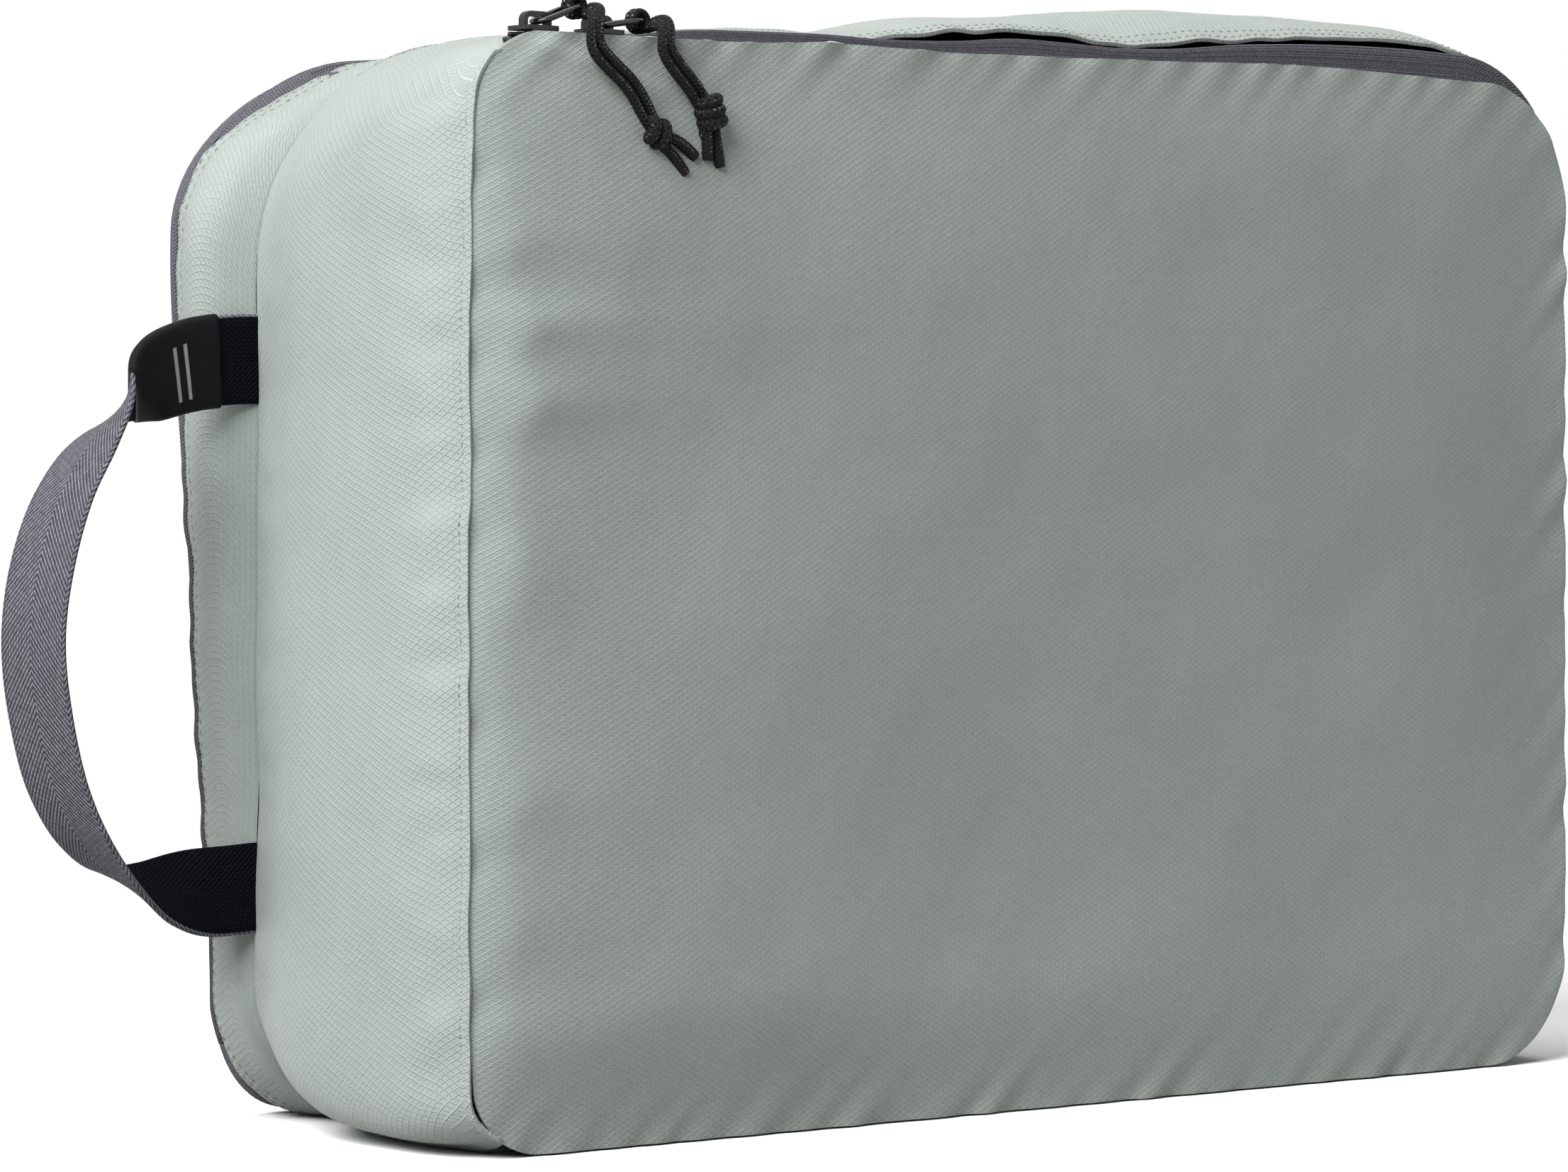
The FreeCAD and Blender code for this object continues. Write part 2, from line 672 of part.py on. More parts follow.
def cord_tube(points, radius):
    """A tube along straight runs and tangent arcs, each arc as large as its two runs allow."""
    points = [FreeCAD.Vector(*point) for point in points]
    solids = []
    length = 0
    start = points[0]
    for before, corner, after in zip(points, points[1:], points[2:]):
        run_in = corner - before
        run_out = after - corner
        turn = run_in.getAngle(run_out)
        setback = ARC_SHARE * min(run_in.Length, run_out.Length)
        bend = setback / math.tan(turn / 2)
        print("cord bend radius %.1f mm" % bend)
        along = FreeCAD.Vector(run_in).normalize()
        axis = run_in.cross(run_out).normalize()
        arc_start = corner - along * setback
        solids.append(Part.makeCylinder(radius, (arc_start - start).Length, start, along))
        ring = Part.Face(Part.Wire(Part.makeCircle(radius, arc_start, along)))
        centre = arc_start + axis.cross(along) * bend
        solids.append(ring.revolve(centre, axis, math.degrees(turn)))
        length += (arc_start - start).Length + turn * bend
        start = corner + FreeCAD.Vector(run_out).normalize() * setback
    last = points[-1] - start
    solids.append(Part.makeCylinder(radius, last.Length, start, last))
    length += last.Length
    tube = solids[0].fuse(solids[1:])
    print("cord tube %.1f mm3, section by length %.1f" % (
        tube.Volume, math.pi * radius ** 2 * length))
    return tube


def shifted(points, distance):
    """The same points, moved across the pull."""
    moves = [distance * part for part in STRANDS_ACROSS]
    return [[place + move for place, move in zip(point, moves)] for point in points]


def pull_cord(word, ring_x, tilt, strands, knot, tails):
    radius = cord.value / 2
    half_pitch = named("cord_pitch").value / 2
    pair = [cord_tube(shifted(strands, side_of_pull * half_pitch), radius)
            for side_of_pull in (-1, 1)]
    shape_piece(word + "_strands", Part.makeCompound(pair))
    ball = Part.makeSphere(1)
    grow = FreeCAD.Matrix()
    grow.scale(*KNOT_RADII)
    lump = ball.transformGeometry(grow)
    lump.translate(FreeCAD.Vector(*knot))
    for tube in pair:
        lump = lump.cut(tube)
    ends = [cord_tube(tail, radius) for tail in tails]
    for tube in ends:
        lump = lump.cut(tube)
    shape_piece(word + "_knot", lump)
    shape_piece(word + "_tails", Part.makeCompound(ends))

    # The hitch is wound on the far end of the ring, with room for the wire to turn in it.
    reach = (ring_length - wire).value
    angle = math.radians(tilt)
    centre = FreeCAD.Vector(ring_x + reach * math.cos(angle), front_zip_line.value,
                            ring_height.value + reach * math.sin(angle))
    half = hitch_width.value / 2
    base = centre - FreeCAD.Vector(0, half, 0)
    bend = (ring_width - wire).value / 2
    inner = wire.value / 2 + gap.value + bend - math.sqrt(bend ** 2 - half ** 2)
    outer = wire.value / 2 + gap.value + cord.value
    turn = Part.makeCylinder(outer, 2 * half, base, FreeCAD.Vector(0, 1, 0))
    turn = turn.cut(Part.makeCylinder(inner, 2 * half, base, FreeCAD.Vector(0, 1, 0)))
    for tube in pair:
        turn = turn.cut(tube)
    shape_piece(word + "_hitch", turn)


pull_cord("front_cord_1", front_slider_x[0].value, FRONT_TILTS[0],
          FIRST_STRANDS, FIRST_KNOT, FIRST_TAILS)
pull_cord("front_cord_2", front_slider_x[1].value, FRONT_TILTS[1],
          SECOND_STRANDS, SECOND_KNOT, SECOND_TAILS)


# ---------------------------------------------------------------- check and write

document.recompute()
for thing in document.Objects:
    if "Invalid" in thing.State or "Error" in thing.State:
        raise ValueError("%s failed: %s" % (thing.Name, thing.State))

pieces = [thing for thing in document.Objects
          if thing.TypeId in ("PartDesign::Body", "Part::Feature", "Part::MultiFuse")]
os.makedirs("parts", exist_ok=True)
for piece in pieces:
    shape = piece.Shape
    if shape.isNull() or not shape.isValid():
        raise ValueError("%s has no valid shape" % piece.Label)
for piece in pieces:
    piece.Shape.exportStep(os.path.join("parts", piece.Label + ".step"))
    box = piece.Shape.BoundBox
    print("%-24s %2d solids %10.1f mm3  x %.1f %.1f  y %.1f %.1f  z %.1f %.1f" % (
        piece.Label, len(piece.Shape.Solids), piece.Shape.Volume,
        box.XMin, box.XMax, box.YMin, box.YMax, box.ZMin, box.ZMax))
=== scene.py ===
import math
from functools import partial

import bmesh
import bpy
import numpy as np
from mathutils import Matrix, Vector


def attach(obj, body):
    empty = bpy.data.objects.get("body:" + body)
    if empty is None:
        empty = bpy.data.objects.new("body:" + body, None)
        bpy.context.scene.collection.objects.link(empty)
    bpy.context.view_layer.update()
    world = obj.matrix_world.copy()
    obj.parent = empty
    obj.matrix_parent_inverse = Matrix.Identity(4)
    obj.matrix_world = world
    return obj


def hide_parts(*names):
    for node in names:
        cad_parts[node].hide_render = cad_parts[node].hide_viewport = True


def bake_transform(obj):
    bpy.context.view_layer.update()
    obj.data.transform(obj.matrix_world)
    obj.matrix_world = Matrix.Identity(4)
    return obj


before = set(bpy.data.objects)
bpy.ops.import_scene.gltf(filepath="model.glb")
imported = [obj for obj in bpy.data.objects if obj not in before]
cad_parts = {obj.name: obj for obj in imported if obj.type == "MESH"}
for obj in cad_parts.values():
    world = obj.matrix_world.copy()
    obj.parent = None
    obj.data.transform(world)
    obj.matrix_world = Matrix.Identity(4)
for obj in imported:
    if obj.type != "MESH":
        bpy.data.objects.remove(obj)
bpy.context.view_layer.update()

# Lengths in this file are millimetres until a mesh is made. The front compartment faces -Y, and the
# rear one is the same kind of shell turned half round about Z, so both are worked out in a frame of
# their own: hinge seam on the left, panel towards -Y, ground at z = 0.
MM = 0.001
SIDE = 179.0
RIM = 254.0
PANEL_BACK = -57.0
PANEL_RISE = 1.2
GUSSET_CLOTH_WALL = 1.0
PANEL_CLOTH_WALL = 1.1
DIVIDER_WALL = 0.5
HINGE_EDGE = -58.9
SEAM_TOP = 258.0
SEAM_CORNER = 36.0
SEAM_CORNER_BY_HANDLE = 58.0
BRAID_PITCH = 1.15
CORD_AROUND = 7.54
FULL_TURN = 2 * math.pi


# ---------------------------------------------------------------- numbers and curves

def eased(low, high, x):
    """0 below low, 1 above high, and 3t^2 - 2t^3 of the share t between them."""
    t = np.clip((np.asarray(x, float) - low) / (high - low), 0.0, 1.0)
    return t * t * (3.0 - 2.0 * t)


def between(a, b, share):
    return a + (b - a) * share


def through(x, places, values):
    """A smooth curve through the given places: cubic Hermite pieces with the slope of the neighbours."""
    x = np.asarray(x, float)
    places = np.asarray(places, float)
    values = np.asarray(values, float)
    slopes = np.gradient(values, places)
    i = np.clip(np.searchsorted(places, x, side="right") - 1, 0, len(places) - 2)
    step = places[i + 1] - places[i]
    t = np.clip((x - places[i]) / step, 0.0, 1.0)
    rise = values[i + 1] - values[i]
    a = slopes[i] * step
    b = slopes[i + 1] * step
    return values[i] + t * a + t * t * (3 * rise - 2 * a - b) + t ** 3 * (a + b - 2 * rise)


def cosine_spaced(count):
    """Shares from 0 to 1 that lie closer together at both ends."""
    return 0.5 - 0.5 * np.cos(math.pi * np.linspace(0.0, 1.0, count))


def plateau(share, power):
    """1 in the middle of a side and 0 at both its ends: 1 - |2s - 1|^power."""
    return 1.0 - np.abs(2.0 * np.clip(share, 0.0, 1.0) - 1.0) ** power


def wrinkles(a, b, seed, shortest, longest, waves=9):
    """Shallow creases of cloth, about -1 to 1: a sum of sines with seeded directions, lengths and
    phases, each bent by a slower sine so that no crease is straight."""
    rng = np.random.default_rng(seed)
    total = 0.0
    for _ in range(waves):
        length = rng.uniform(shortest, longest)
        angle = rng.uniform(0.0, math.pi)
        phase, bend = rng.uniform(0.0, FULL_TURN, 2)
        along = (a * math.cos(angle) + b * math.sin(angle)) / length
        across = (b * math.cos(angle) - a * math.sin(angle)) / (length * 2.3)
        total = total + np.sin(FULL_TURN * along + phase + 1.3 * np.sin(FULL_TURN * across + bend))
    return total / math.sqrt(waves)


def crease(a, b, start, end, width):
    """1 along a line from start to end in the cloth, falling off as exp(-(distance / width)^2)."""
    run = np.array([end[0] - start[0], end[1] - start[1]], float)
    length = math.hypot(*run)
    along = ((a - start[0]) * run[0] + (b - start[1]) * run[1]) / length
    across = ((b - start[1]) * run[0] - (a - start[0]) * run[1]) / length
    fade = eased(-0.1 * length, 0.25 * length, along) * (1.0 - eased(0.75 * length, 1.1 * length, along))
    return np.exp(-(across / width) ** 2) * fade


# ---------------------------------------------------------------- meshes

def finish_mesh(name, points, faces, uvs, material, body):
    """A smooth piece of the scene; a piece without a body is left without a parent."""
    mesh = bpy.data.meshes.new(name)
    mesh.from_pydata(np.asarray(points, float).reshape(-1, 3) * MM, [], faces)
    layer = mesh.uv_layers.new(name="cloth")
    layer.data.foreach_set("uv", np.asarray(uvs, float).ravel())
    mesh.polygons.foreach_set("use_smooth", [True] * len(mesh.polygons))
    mesh.materials.append(material)
    mesh.update()
    piece = bpy.data.objects.new(name, mesh)
    bpy.context.scene.collection.objects.link(piece)
    if body:
        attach(piece, body)
    return piece


def grid_faces(rows, columns, wraps):
    """The corner numbers of each face of a grid, and the same with an extra column where it wraps."""
    r, c = np.meshgrid(np.arange(rows - 1), np.arange(columns if wraps else columns - 1), indexing="ij")
    r = r.ravel()
    c = c.ravel()
    after = (c + 1) % columns
    faces = np.stack([r * columns + c, r * columns + after, (r + 1) * columns + after,
                      (r + 1) * columns + c], axis=1)
    wide = columns + 1 if wraps else columns
    corners = np.stack([r * wide + c, r * wide + c + 1, (r + 1) * wide + c + 1,
                        (r + 1) * wide + c], axis=1)
    return faces, corners


def surface(name, points, uv, material, body, wraps=False):
    """A mesh from a grid of points (rows, columns, 3) with cloth coordinates uv in millimetres, one
    column wider where the grid closes on itself."""
    faces, corners = grid_faces(*points.shape[:2], wraps)
    uvs = uv.reshape(-1, 2)[corners.ravel()]
    return finish_mesh(name, points, faces.tolist(), uvs, material, body)


def close_ends(piece):
    """Joins the seam along a closed section and caps both ends of the strip."""
    shape = bmesh.new()
    shape.from_mesh(piece.data)
    bmesh.ops.remove_doubles(shape, verts=shape.verts, dist=1e-6)
    bmesh.ops.holes_fill(shape, edges=[edge for edge in shape.edges if edge.is_boundary], sides=0)
    bmesh.ops.recalc_face_normals(shape, faces=shape.faces)
    shape.to_mesh(piece.data)
    shape.free()
    piece.data.update()


def strip(name, rows, along, around, material, body, slot_name, *nodes, wraps=False):
    """A strip with a closed section, in place of the given CAD nodes. rows holds a line of points for
    each corner of the section; along and around are the cloth coordinates."""
    uv = np.stack(np.meshgrid(along, around), axis=-1)
    piece = surface(name, np.stack(rows + rows[:1]), uv, material, body, wraps)
    close_ends(piece)
    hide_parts(*nodes)
    return piece


def thicken(piece, thickness, rounding_width=0.35):
    """A wall inwards from the surface, with rounded edges where a width is given for them."""
    wall = piece.modifiers.new("wall", "SOLIDIFY")
    wall.thickness = thickness * MM
    wall.offset = -1.0
    if rounding_width:
        rounding = piece.modifiers.new("rounding", "BEVEL")
        rounding.width = rounding_width * MM
        rounding.segments = 2
        rounding.limit_method = "ANGLE"
        rounding.angle_limit = math.radians(60)


def unit(vectors):
    return vectors / np.maximum(np.linalg.norm(vectors, axis=-1, keepdims=True), 1e-12)


def arc_lengths(points):
    """Distance along a line of points, from its first."""
    steps = np.linalg.norm(np.diff(points, axis=0), axis=1)
    return np.concatenate([[0.0], np.cumsum(steps)])


def spaced(values, points, pitch):
    """The values of a line's parameter at equal distances along it."""
    lengths = arc_lengths(points)
    count = max(2, int(lengths[-1] / pitch))
    wanted = (np.arange(count) + 0.5) * lengths[-1] / count
    return np.interp(wanted, lengths, values)


STITCH_RING = np.array([(0.0, 1.0), (0.87, 0.5), (0.87, -0.5), (0.0, -1.0), (-0.87, -0.5),
                        (-0.87, 0.5)])
STITCH_RINGS = [(-0.5, 0.35), (-0.34, 0.95), (0.0, 1.0), (0.34, 0.95), (0.5, 0.35)]


def stitch_points(centres, along, outwards, length, thickness):
    """Thread stitches as six-sided beads: rings of a hexagon along each stitch, sunk at both ends."""
    sideways = unit(np.cross(along, outwards))
    rings = []
    for share, size in STITCH_RINGS:
        sink = -(abs(share) * 2) ** 3 * thickness * 0.8
        ring = (centres[:, None, :] + along[:, None, :] * share * length
                + outwards[:, None, :] * (STITCH_RING[None, :, 1:2] * size * thickness / 2 + sink)
                + sideways[:, None, :] * STITCH_RING[None, :, 0:1] * size * thickness / 2)
        rings.append(ring)
    return np.stack(rings, axis=1)


def stitch_row(at, along, across, pitch, length, thickness):
    """A row of stitches on a surface at(along, across); the row runs along the first parameter, and
    the surface's change with the second gives the stitches their sideways direction."""
    places = spaced(along, at(along, across), pitch)
    depth = np.interp(places, along, across)
    step = (along[-1] - along[0]) * 1e-4
    ahead = unit(at(places + step, depth) - at(places - step, depth))
    beside = unit(at(places, depth + 0.05) - at(places, depth - 0.05))
    return stitch_points(at(places, depth), ahead, unit(np.cross(ahead, beside)), length, thickness)


def stitches(name, rows, body):
    """All the stitch beads of one seam as one mesh; each bead is a closed tube with capped ends."""
    beads = np.concatenate(rows)
    sides = len(STITCH_RING)
    rings = len(STITCH_RINGS)
    faces, _ = grid_faces(rings, sides, True)
    caps = np.array([np.arange(sides)[::-1], sides * (rings - 1) + np.arange(sides)])
    base = (np.arange(len(beads)) * sides * rings)[:, None, None]
    every = (faces + base).reshape(-1, 4).tolist() + (caps + base).reshape(-1, sides).tolist()
    corners = sum(len(face) for face in every)
    return finish_mesh(name, beads, every, np.zeros((corners, 2)), SHADE_DARKENED_THREAD, body)


# ---------------------------------------------------------------- shader helpers

def node(tree, kind, **settings):
    made = tree.nodes.new(kind)
    for key, value in settings.items():
        setattr(made, key, value)
    return made


def feed(tree, socket, value):
    if isinstance(value, bpy.types.NodeSocket):
        tree.links.new(value, socket)
    else:
        socket.default_value = value


def feed_all(tree, made, **values):
    """Feeds a node's inputs by name, with a low line in place of each space."""
    for name, value in values.items():
        feed(tree, made.inputs[name.replace("_", " ")], value)


def calc(tree, operation, a, b=None, c=None):
    made = node(tree, "ShaderNodeMath", operation=operation)
    for socket, value in zip(made.inputs, (a, b, c)):
        if value is not None:
            feed(tree, socket, value)
    return made.outputs[0]


def wave(tree, value, turns, operation="SINE"):
    return calc(tree, operation, calc(tree, "MULTIPLY", value, turns))


def as_share(tree, value):
    """From -1 to 1 on to 0 to 1."""
    return calc(tree, "MULTIPLY_ADD", value, 0.5, 0.5)


def away_from(tree, value, middle):
    return calc(tree, "ABSOLUTE", calc(tree, "SUBTRACT", value, middle))


def scaled_range(tree, value, low, high, to_low=0.0, to_high=1.0):
    made = node(tree, "ShaderNodeMapRange", interpolation_type="SMOOTHSTEP")
    feed_all(tree, made, Value=value, From_Min=low, From_Max=high, To_Min=to_low, To_Max=to_high)
    return made.outputs["Result"]


def falling_range(tree, value, low, high):
    return calc(tree, "SUBTRACT", 1.0, scaled_range(tree, value, low, high))


def blend_colour(tree, share, a, b, kind="MIX"):
    made = node(tree, "ShaderNodeMix", data_type="RGBA", blend_type=kind)
    feed(tree, made.inputs[0], share)
    feed(tree, made.inputs[6], a)
    feed(tree, made.inputs[7], b)
    return made.outputs[2]


def noise(tree, vector, scale, detail=2.0, roughness=0.5, distortion=0.0):
    made = node(tree, "ShaderNodeTexNoise")
    feed_all(tree, made, Vector=vector, Scale=scale, Detail=detail, Roughness=roughness,
             Distortion=distortion)
    return made.outputs[0]


def bump(tree, height, distance, strength, normal=None):
    made = node(tree, "ShaderNodeBump")
    feed_all(tree, made, Height=height, Distance=distance, Strength=strength)
    if normal is not None:
        feed(tree, made.inputs["Normal"], normal)
    return made.outputs[0]


def split(tree, vector):
    """The first two parts of a vector."""
    made = node(tree, "ShaderNodeSeparateXYZ")
    feed(tree, made.inputs[0], vector)
    return made.outputs[0], made.outputs[1]


def new_group(name, inputs, outputs):
    """A shader group: its inputs are numbers, or vectors where no value is given, and its outputs
    are numbers."""
    tree = bpy.data.node_groups.new(name, "ShaderNodeTree")
    for label, value in inputs.items():
        kind = "NodeSocketVector" if value is None else "NodeSocketFloat"
        made = tree.interface.new_socket(name=label, in_out="INPUT", socket_type=kind)
        if value is not None:
            made.default_value = value
    for label in outputs:
        tree.interface.new_socket(name=label, in_out="OUTPUT", socket_type="NodeSocketFloat")
    return tree, tree.nodes.new("NodeGroupInput").outputs, tree.nodes.new("NodeGroupOutput").inputs


def use_group(tree, group, **inputs):
    made = node(tree, "ShaderNodeGroup", node_tree=group)
    feed_all(tree, made, **inputs)
    return made.outputs


def new_material(name):
    """A material with one principled shader, its tree and that shader."""
    material = bpy.data.materials.new(name)
    material.use_nodes = True
    tree = material.node_tree
    tree.nodes.clear()
    shader = node(tree, "ShaderNodeBsdfPrincipled")
    out = node(tree, "ShaderNodeOutputMaterial")
    tree.links.new(shader.outputs[0], out.inputs[0])
    return material, tree, shader


def coordinates(tree):
    """The cloth's own coordinates, in millimetres, and the place on the object, in metres."""
    made = node(tree, "ShaderNodeTexCoord")
    return made.outputs["UV"], made.outputs["Object"]


# ---------------------------------------------------------------- shared effects

THREADS = 25.0


def lattice_group():
    """Two families of thin lines that cross into small diamonds: each is the distance to the nearest
    whole number of along * u plus or minus across * v, narrowed to a line."""
    tree, given, made = new_group("ripstop lattice", {"Cloth": None, "Along": 0.21, "Across": 0.415,
                                                      "Line": 0.14}, ("Lines", "Height"))
    first, second = split(tree, given["Cloth"])
    drift = noise(tree, given["Cloth"], 0.03, 1.0)
    u = calc(tree, "MULTIPLY", first, given["Along"])
    v = calc(tree, "MULTIPLY", second, given["Across"])
    u = calc(tree, "ADD", u, calc(tree, "MULTIPLY", drift, 0.5))
    families = []
    for operation in ("ADD", "SUBTRACT"):
        share = calc(tree, "FRACT", calc(tree, operation, u, v))
        away = calc(tree, "SUBTRACT", 0.5, away_from(tree, share, 0.5))
        families.append(falling_range(tree, away, 0.0, given["Line"]))
    lines = calc(tree, "MAXIMUM", families[0], families[1])
    feed(tree, made["Lines"], lines)
    thread = calc(tree, "MULTIPLY", wave(tree, first, THREADS), wave(tree, second, THREADS))
    feed(tree, made["Height"], calc(tree, "MULTIPLY_ADD", thread, 0.12, lines))
    return tree


def handling_group():
    """How thin coated cloth creases when it is packed: broad soft folds, sharper small crumples made
    of the ridge 1 - |2n - 1| of a noise, and a faint cloudiness of the colour."""
    tree, given, made = new_group("handled cloth", {"Place": None}, ("Folds", "Crumples", "Cloud"))
    feed(tree, made["Folds"], noise(tree, given["Place"], 26.0, 2.0, 0.5, 0.6))
    fine = noise(tree, given["Place"], 75.0, 1.0, 0.5, 0.9)
    valley = calc(tree, "ABSOLUTE", calc(tree, "MULTIPLY_ADD", fine, 2.0, -1.0))
    feed(tree, made["Crumples"], calc(tree, "POWER", calc(tree, "SUBTRACT", 1.0, valley), 3.0))
    feed(tree, made["Cloud"], noise(tree, given["Place"], 9.0, 3.0, 0.55))
    return tree


def herringbone_group():
    """Slanting ribs that change direction from one wale to the next, as in zip tape and webbing."""
    tree, given, made = new_group("herringbone", {"Cloth": None, "Wale": 2.0, "Rib": 0.8, "Slant": 1.6,
                                                  "Dot": 0.7}, ("Ribs", "Valley"))
    along, across = split(tree, given["Cloth"])
    fold = calc(tree, "PINGPONG", calc(tree, "DIVIDE", across, given["Wale"]), 1.0)
    slant = calc(tree, "MULTIPLY_ADD", fold, given["Slant"], calc(tree, "DIVIDE", along, given["Rib"]))
    ribs = as_share(tree, wave(tree, slant, FULL_TURN))
    turns = wave(tree, calc(tree, "DIVIDE", across, given["Dot"]), FULL_TURN)
    dots = calc(tree, "MULTIPLY_ADD", turns, 0.3, 0.7)
    feed(tree, made["Ribs"], calc(tree, "MULTIPLY", ribs, dots))
    edge = calc(tree, "ABSOLUTE", calc(tree, "MULTIPLY_ADD", fold, 2.0, -1.0))
    feed(tree, made["Valley"], calc(tree, "POWER", edge, 6.0))
    return tree


LATTICE = lattice_group()
HANDLING = handling_group()
HERRINGBONE = herringbone_group()


# ---------------------------------------------------------------- materials

SAGE = (0.45, 0.50, 0.468)


def ripstop(name, along, across, painted_line_sheen):
    """Sage grey coated ripstop: diamond lattice from the cloth's own coordinates, slightly raised lines,
    a faint sheen, soft folds and crumples. The lines' colour is the sage times each piece's factor,
    which is painted sheen of the raised threads."""
    material, tree, shader = new_material(name)
    cloth, place = coordinates(tree)
    lattice = use_group(tree, LATTICE, Cloth=cloth, Along=along, Across=across)
    handled = use_group(tree, HANDLING, Place=place)
    # painted sheen: the lattice lines are made lighter or darker than the cloth by the piece's factor
    line = tuple(channel * painted_line_sheen for channel in SAGE) + (1.0,)
    colour = blend_colour(tree, lattice["Lines"], SAGE + (1.0,), line)
    cloud = scaled_range(tree, handled["Cloud"], 0.3, 0.7, 0.93, 1.05)
    soft = bump(tree, handled["Crumples"], 0.001, 0.05, bump(tree, handled["Folds"], 0.003, 0.16))
    feed_all(tree, shader, Base_Color=blend_colour(tree, 1.0, colour, cloud, "MULTIPLY"),
             Roughness=scaled_range(tree, lattice["Lines"], 0.0, 1.0, 0.46, 0.66),
             Specular_IOR_Level=0.35, Sheen_Weight=0.08, Sheen_Roughness=0.4,
             Normal=bump(tree, lattice["Height"], 0.0003, 0.75, soft))
    return material


def finish_weave(tree, shader, weave, fuzz, tone, shades, depths, height):
    """A woven tape's colour and relief: tone times the fuzz's shade, and ribs with valleys between the
    wales and the fuzz on top. depths holds the valley's share and the fuzz's."""
    relief = calc(tree, "SUBTRACT", weave["Ribs"], calc(tree, "MULTIPLY", weave["Valley"], depths[0]))
    relief = calc(tree, "MULTIPLY_ADD", fuzz, depths[1], relief)
    shade = scaled_range(tree, fuzz, 0.2, 0.8, *shades)
    feed_all(tree, shader, Base_Color=blend_colour(tree, 1.0, tone, shade, "MULTIPLY"), Roughness=0.75,
             Normal=bump(tree, relief, height, 0.9))


def woven(name, colour, rib_colour, wale, rib):
    """Woven tape with herringbone ribs along the cloth's own coordinates."""
    material, tree, shader = new_material(name)
    cloth, place = coordinates(tree)
    weave = use_group(tree, HERRINGBONE, Cloth=cloth, Wale=wale, Rib=rib)
    tone = blend_colour(tree, weave["Ribs"], colour, rib_colour)
    finish_weave(tree, shader, weave, noise(tree, place, 900.0), tone, (0.8, 1.15), (0.7, 0.5), 0.0003)
    feed_all(tree, shader, Specular_IOR_Level=0.15, Sheen_Weight=0.05)
    return material


def webbing_material():
    """Handle webbing: herringbone, grey-lilac on its outer face and black on the inner one; the outer grey is
    partly the webbing's own colour and partly painted sheen. The face is told by the second cloth coordinate,
    which runs round the strap."""
    material, tree, shader = new_material("handle webbing")
    cloth, place = coordinates(tree)
    weave = use_group(tree, HERRINGBONE, Cloth=cloth, Wale=10.5, Rib=1.5, Slant=8.5, Dot=0.9)
    outer = scaled_range(tree, split(tree, cloth)[1], 21.8, 22.0)
    # the outer face's lighter grey is partly own colour and partly painted sheen of the nylon
    sheen_painted_outer_tone = blend_colour(tree, weave["Ribs"], (0.055, 0.055, 0.068, 1), (0.36, 0.36, 0.40, 1))
    inner_tone = blend_colour(tree, weave["Ribs"], (0.003, 0.003, 0.006, 1), (0.012, 0.013, 0.02, 1))
    tone = blend_colour(tree, outer, inner_tone, sheen_painted_outer_tone)
    finish_weave(tree, shader, weave, noise(tree, place, 700.0), tone, (0.75, 1.2), (0.8, 0.6), 0.00035)
    feed_all(tree, shader, Specular_IOR_Level=0.03)
    return material


def braid_material():
    """Black braided cord: two families of strands that wind opposite ways, and a few light flecks."""
    material, tree, shader = new_material("braided cord")
    cloth, place = coordinates(tree)
    along, around = split(tree, cloth)
    u = calc(tree, "MULTIPLY", along, FULL_TURN / BRAID_PITCH)
    v = calc(tree, "MULTIPLY", around, FULL_TURN * 4 / CORD_AROUND)
    one = calc(tree, "SINE", calc(tree, "ADD", u, v))
    two = calc(tree, "SINE", calc(tree, "SUBTRACT", u, v))
    strands = as_share(tree, calc(tree, "MAXIMUM", one, two))
    line = scaled_range(tree, wave(tree, around, FULL_TURN * 3 / CORD_AROUND, "COSINE"), 0.78, 0.95)
    dash = scaled_range(tree, wave(tree, along, FULL_TURN / 0.85), -0.1, 0.5)
    worn = scaled_range(tree, noise(tree, place, 700.0, 1.0), 0.4, 0.6)
    fleck = calc(tree, "MULTIPLY", calc(tree, "MULTIPLY", line, dash), worn)
    tone = blend_colour(tree, strands, (0.002, 0.002, 0.0025, 1), (0.014, 0.014, 0.016, 1))
    feed_all(tree, shader, Base_Color=blend_colour(tree, fleck, tone, (0.22, 0.22, 0.23, 1)),
             Roughness=0.6, Specular_IOR_Level=0.1, Normal=bump(tree, strands, 0.0003, 0.9))
    return material


def enamel_material(name, colour, roughness, metal=0.0):
    """Black enamel on die-cast metal or wire: slightly mottled, with rubbed brighter spots."""
    material, tree, shader = new_material(name)
    _, place = coordinates(tree)
    mottle = noise(tree, place, 380.0, 3.0, 0.6)
    worn = scaled_range(tree, noise(tree, place, 900.0, 2.0, 0.6), 0.62, 0.8)
    feed_all(tree, shader, Base_Color=blend_colour(tree, worn, colour, (0.06, 0.06, 0.062, 1)),
             Roughness=scaled_range(tree, mottle, 0.3, 0.7, roughness - 0.08, roughness + 0.1),
             Metallic=metal, Specular_IOR_Level=0.35, Coat_Weight=0.06, Coat_Roughness=0.2,
             Normal=bump(tree, mottle, 0.0001, 0.3))
    return material


def thread_material(name, colour):
    """Sewing thread: fine plies from a noise on the piece's own place."""
    material, tree, shader = new_material(name)
    plies = scaled_range(tree, noise(tree, coordinates(tree)[1], 2400.0, 1.0), 0.35, 0.65)
    dark = tuple(channel * 0.75 for channel in colour[:3]) + (1.0,)
    feed_all(tree, shader, Base_Color=blend_colour(tree, plies, dark, colour), Roughness=0.6,
             Sheen_Weight=0.15)
    return material


def coil_material():
    """The zip's nylon coil: smooth dark monofilament."""
    material, tree, shader = new_material("zip coil")
    grain = noise(tree, coordinates(tree)[1], 1200.0)
    tone = blend_colour(tree, grain, (0.012, 0.012, 0.016, 1), (0.05, 0.048, 0.062, 1))
    feed_all(tree, shader, Base_Color=tone, Roughness=0.38)
    return material


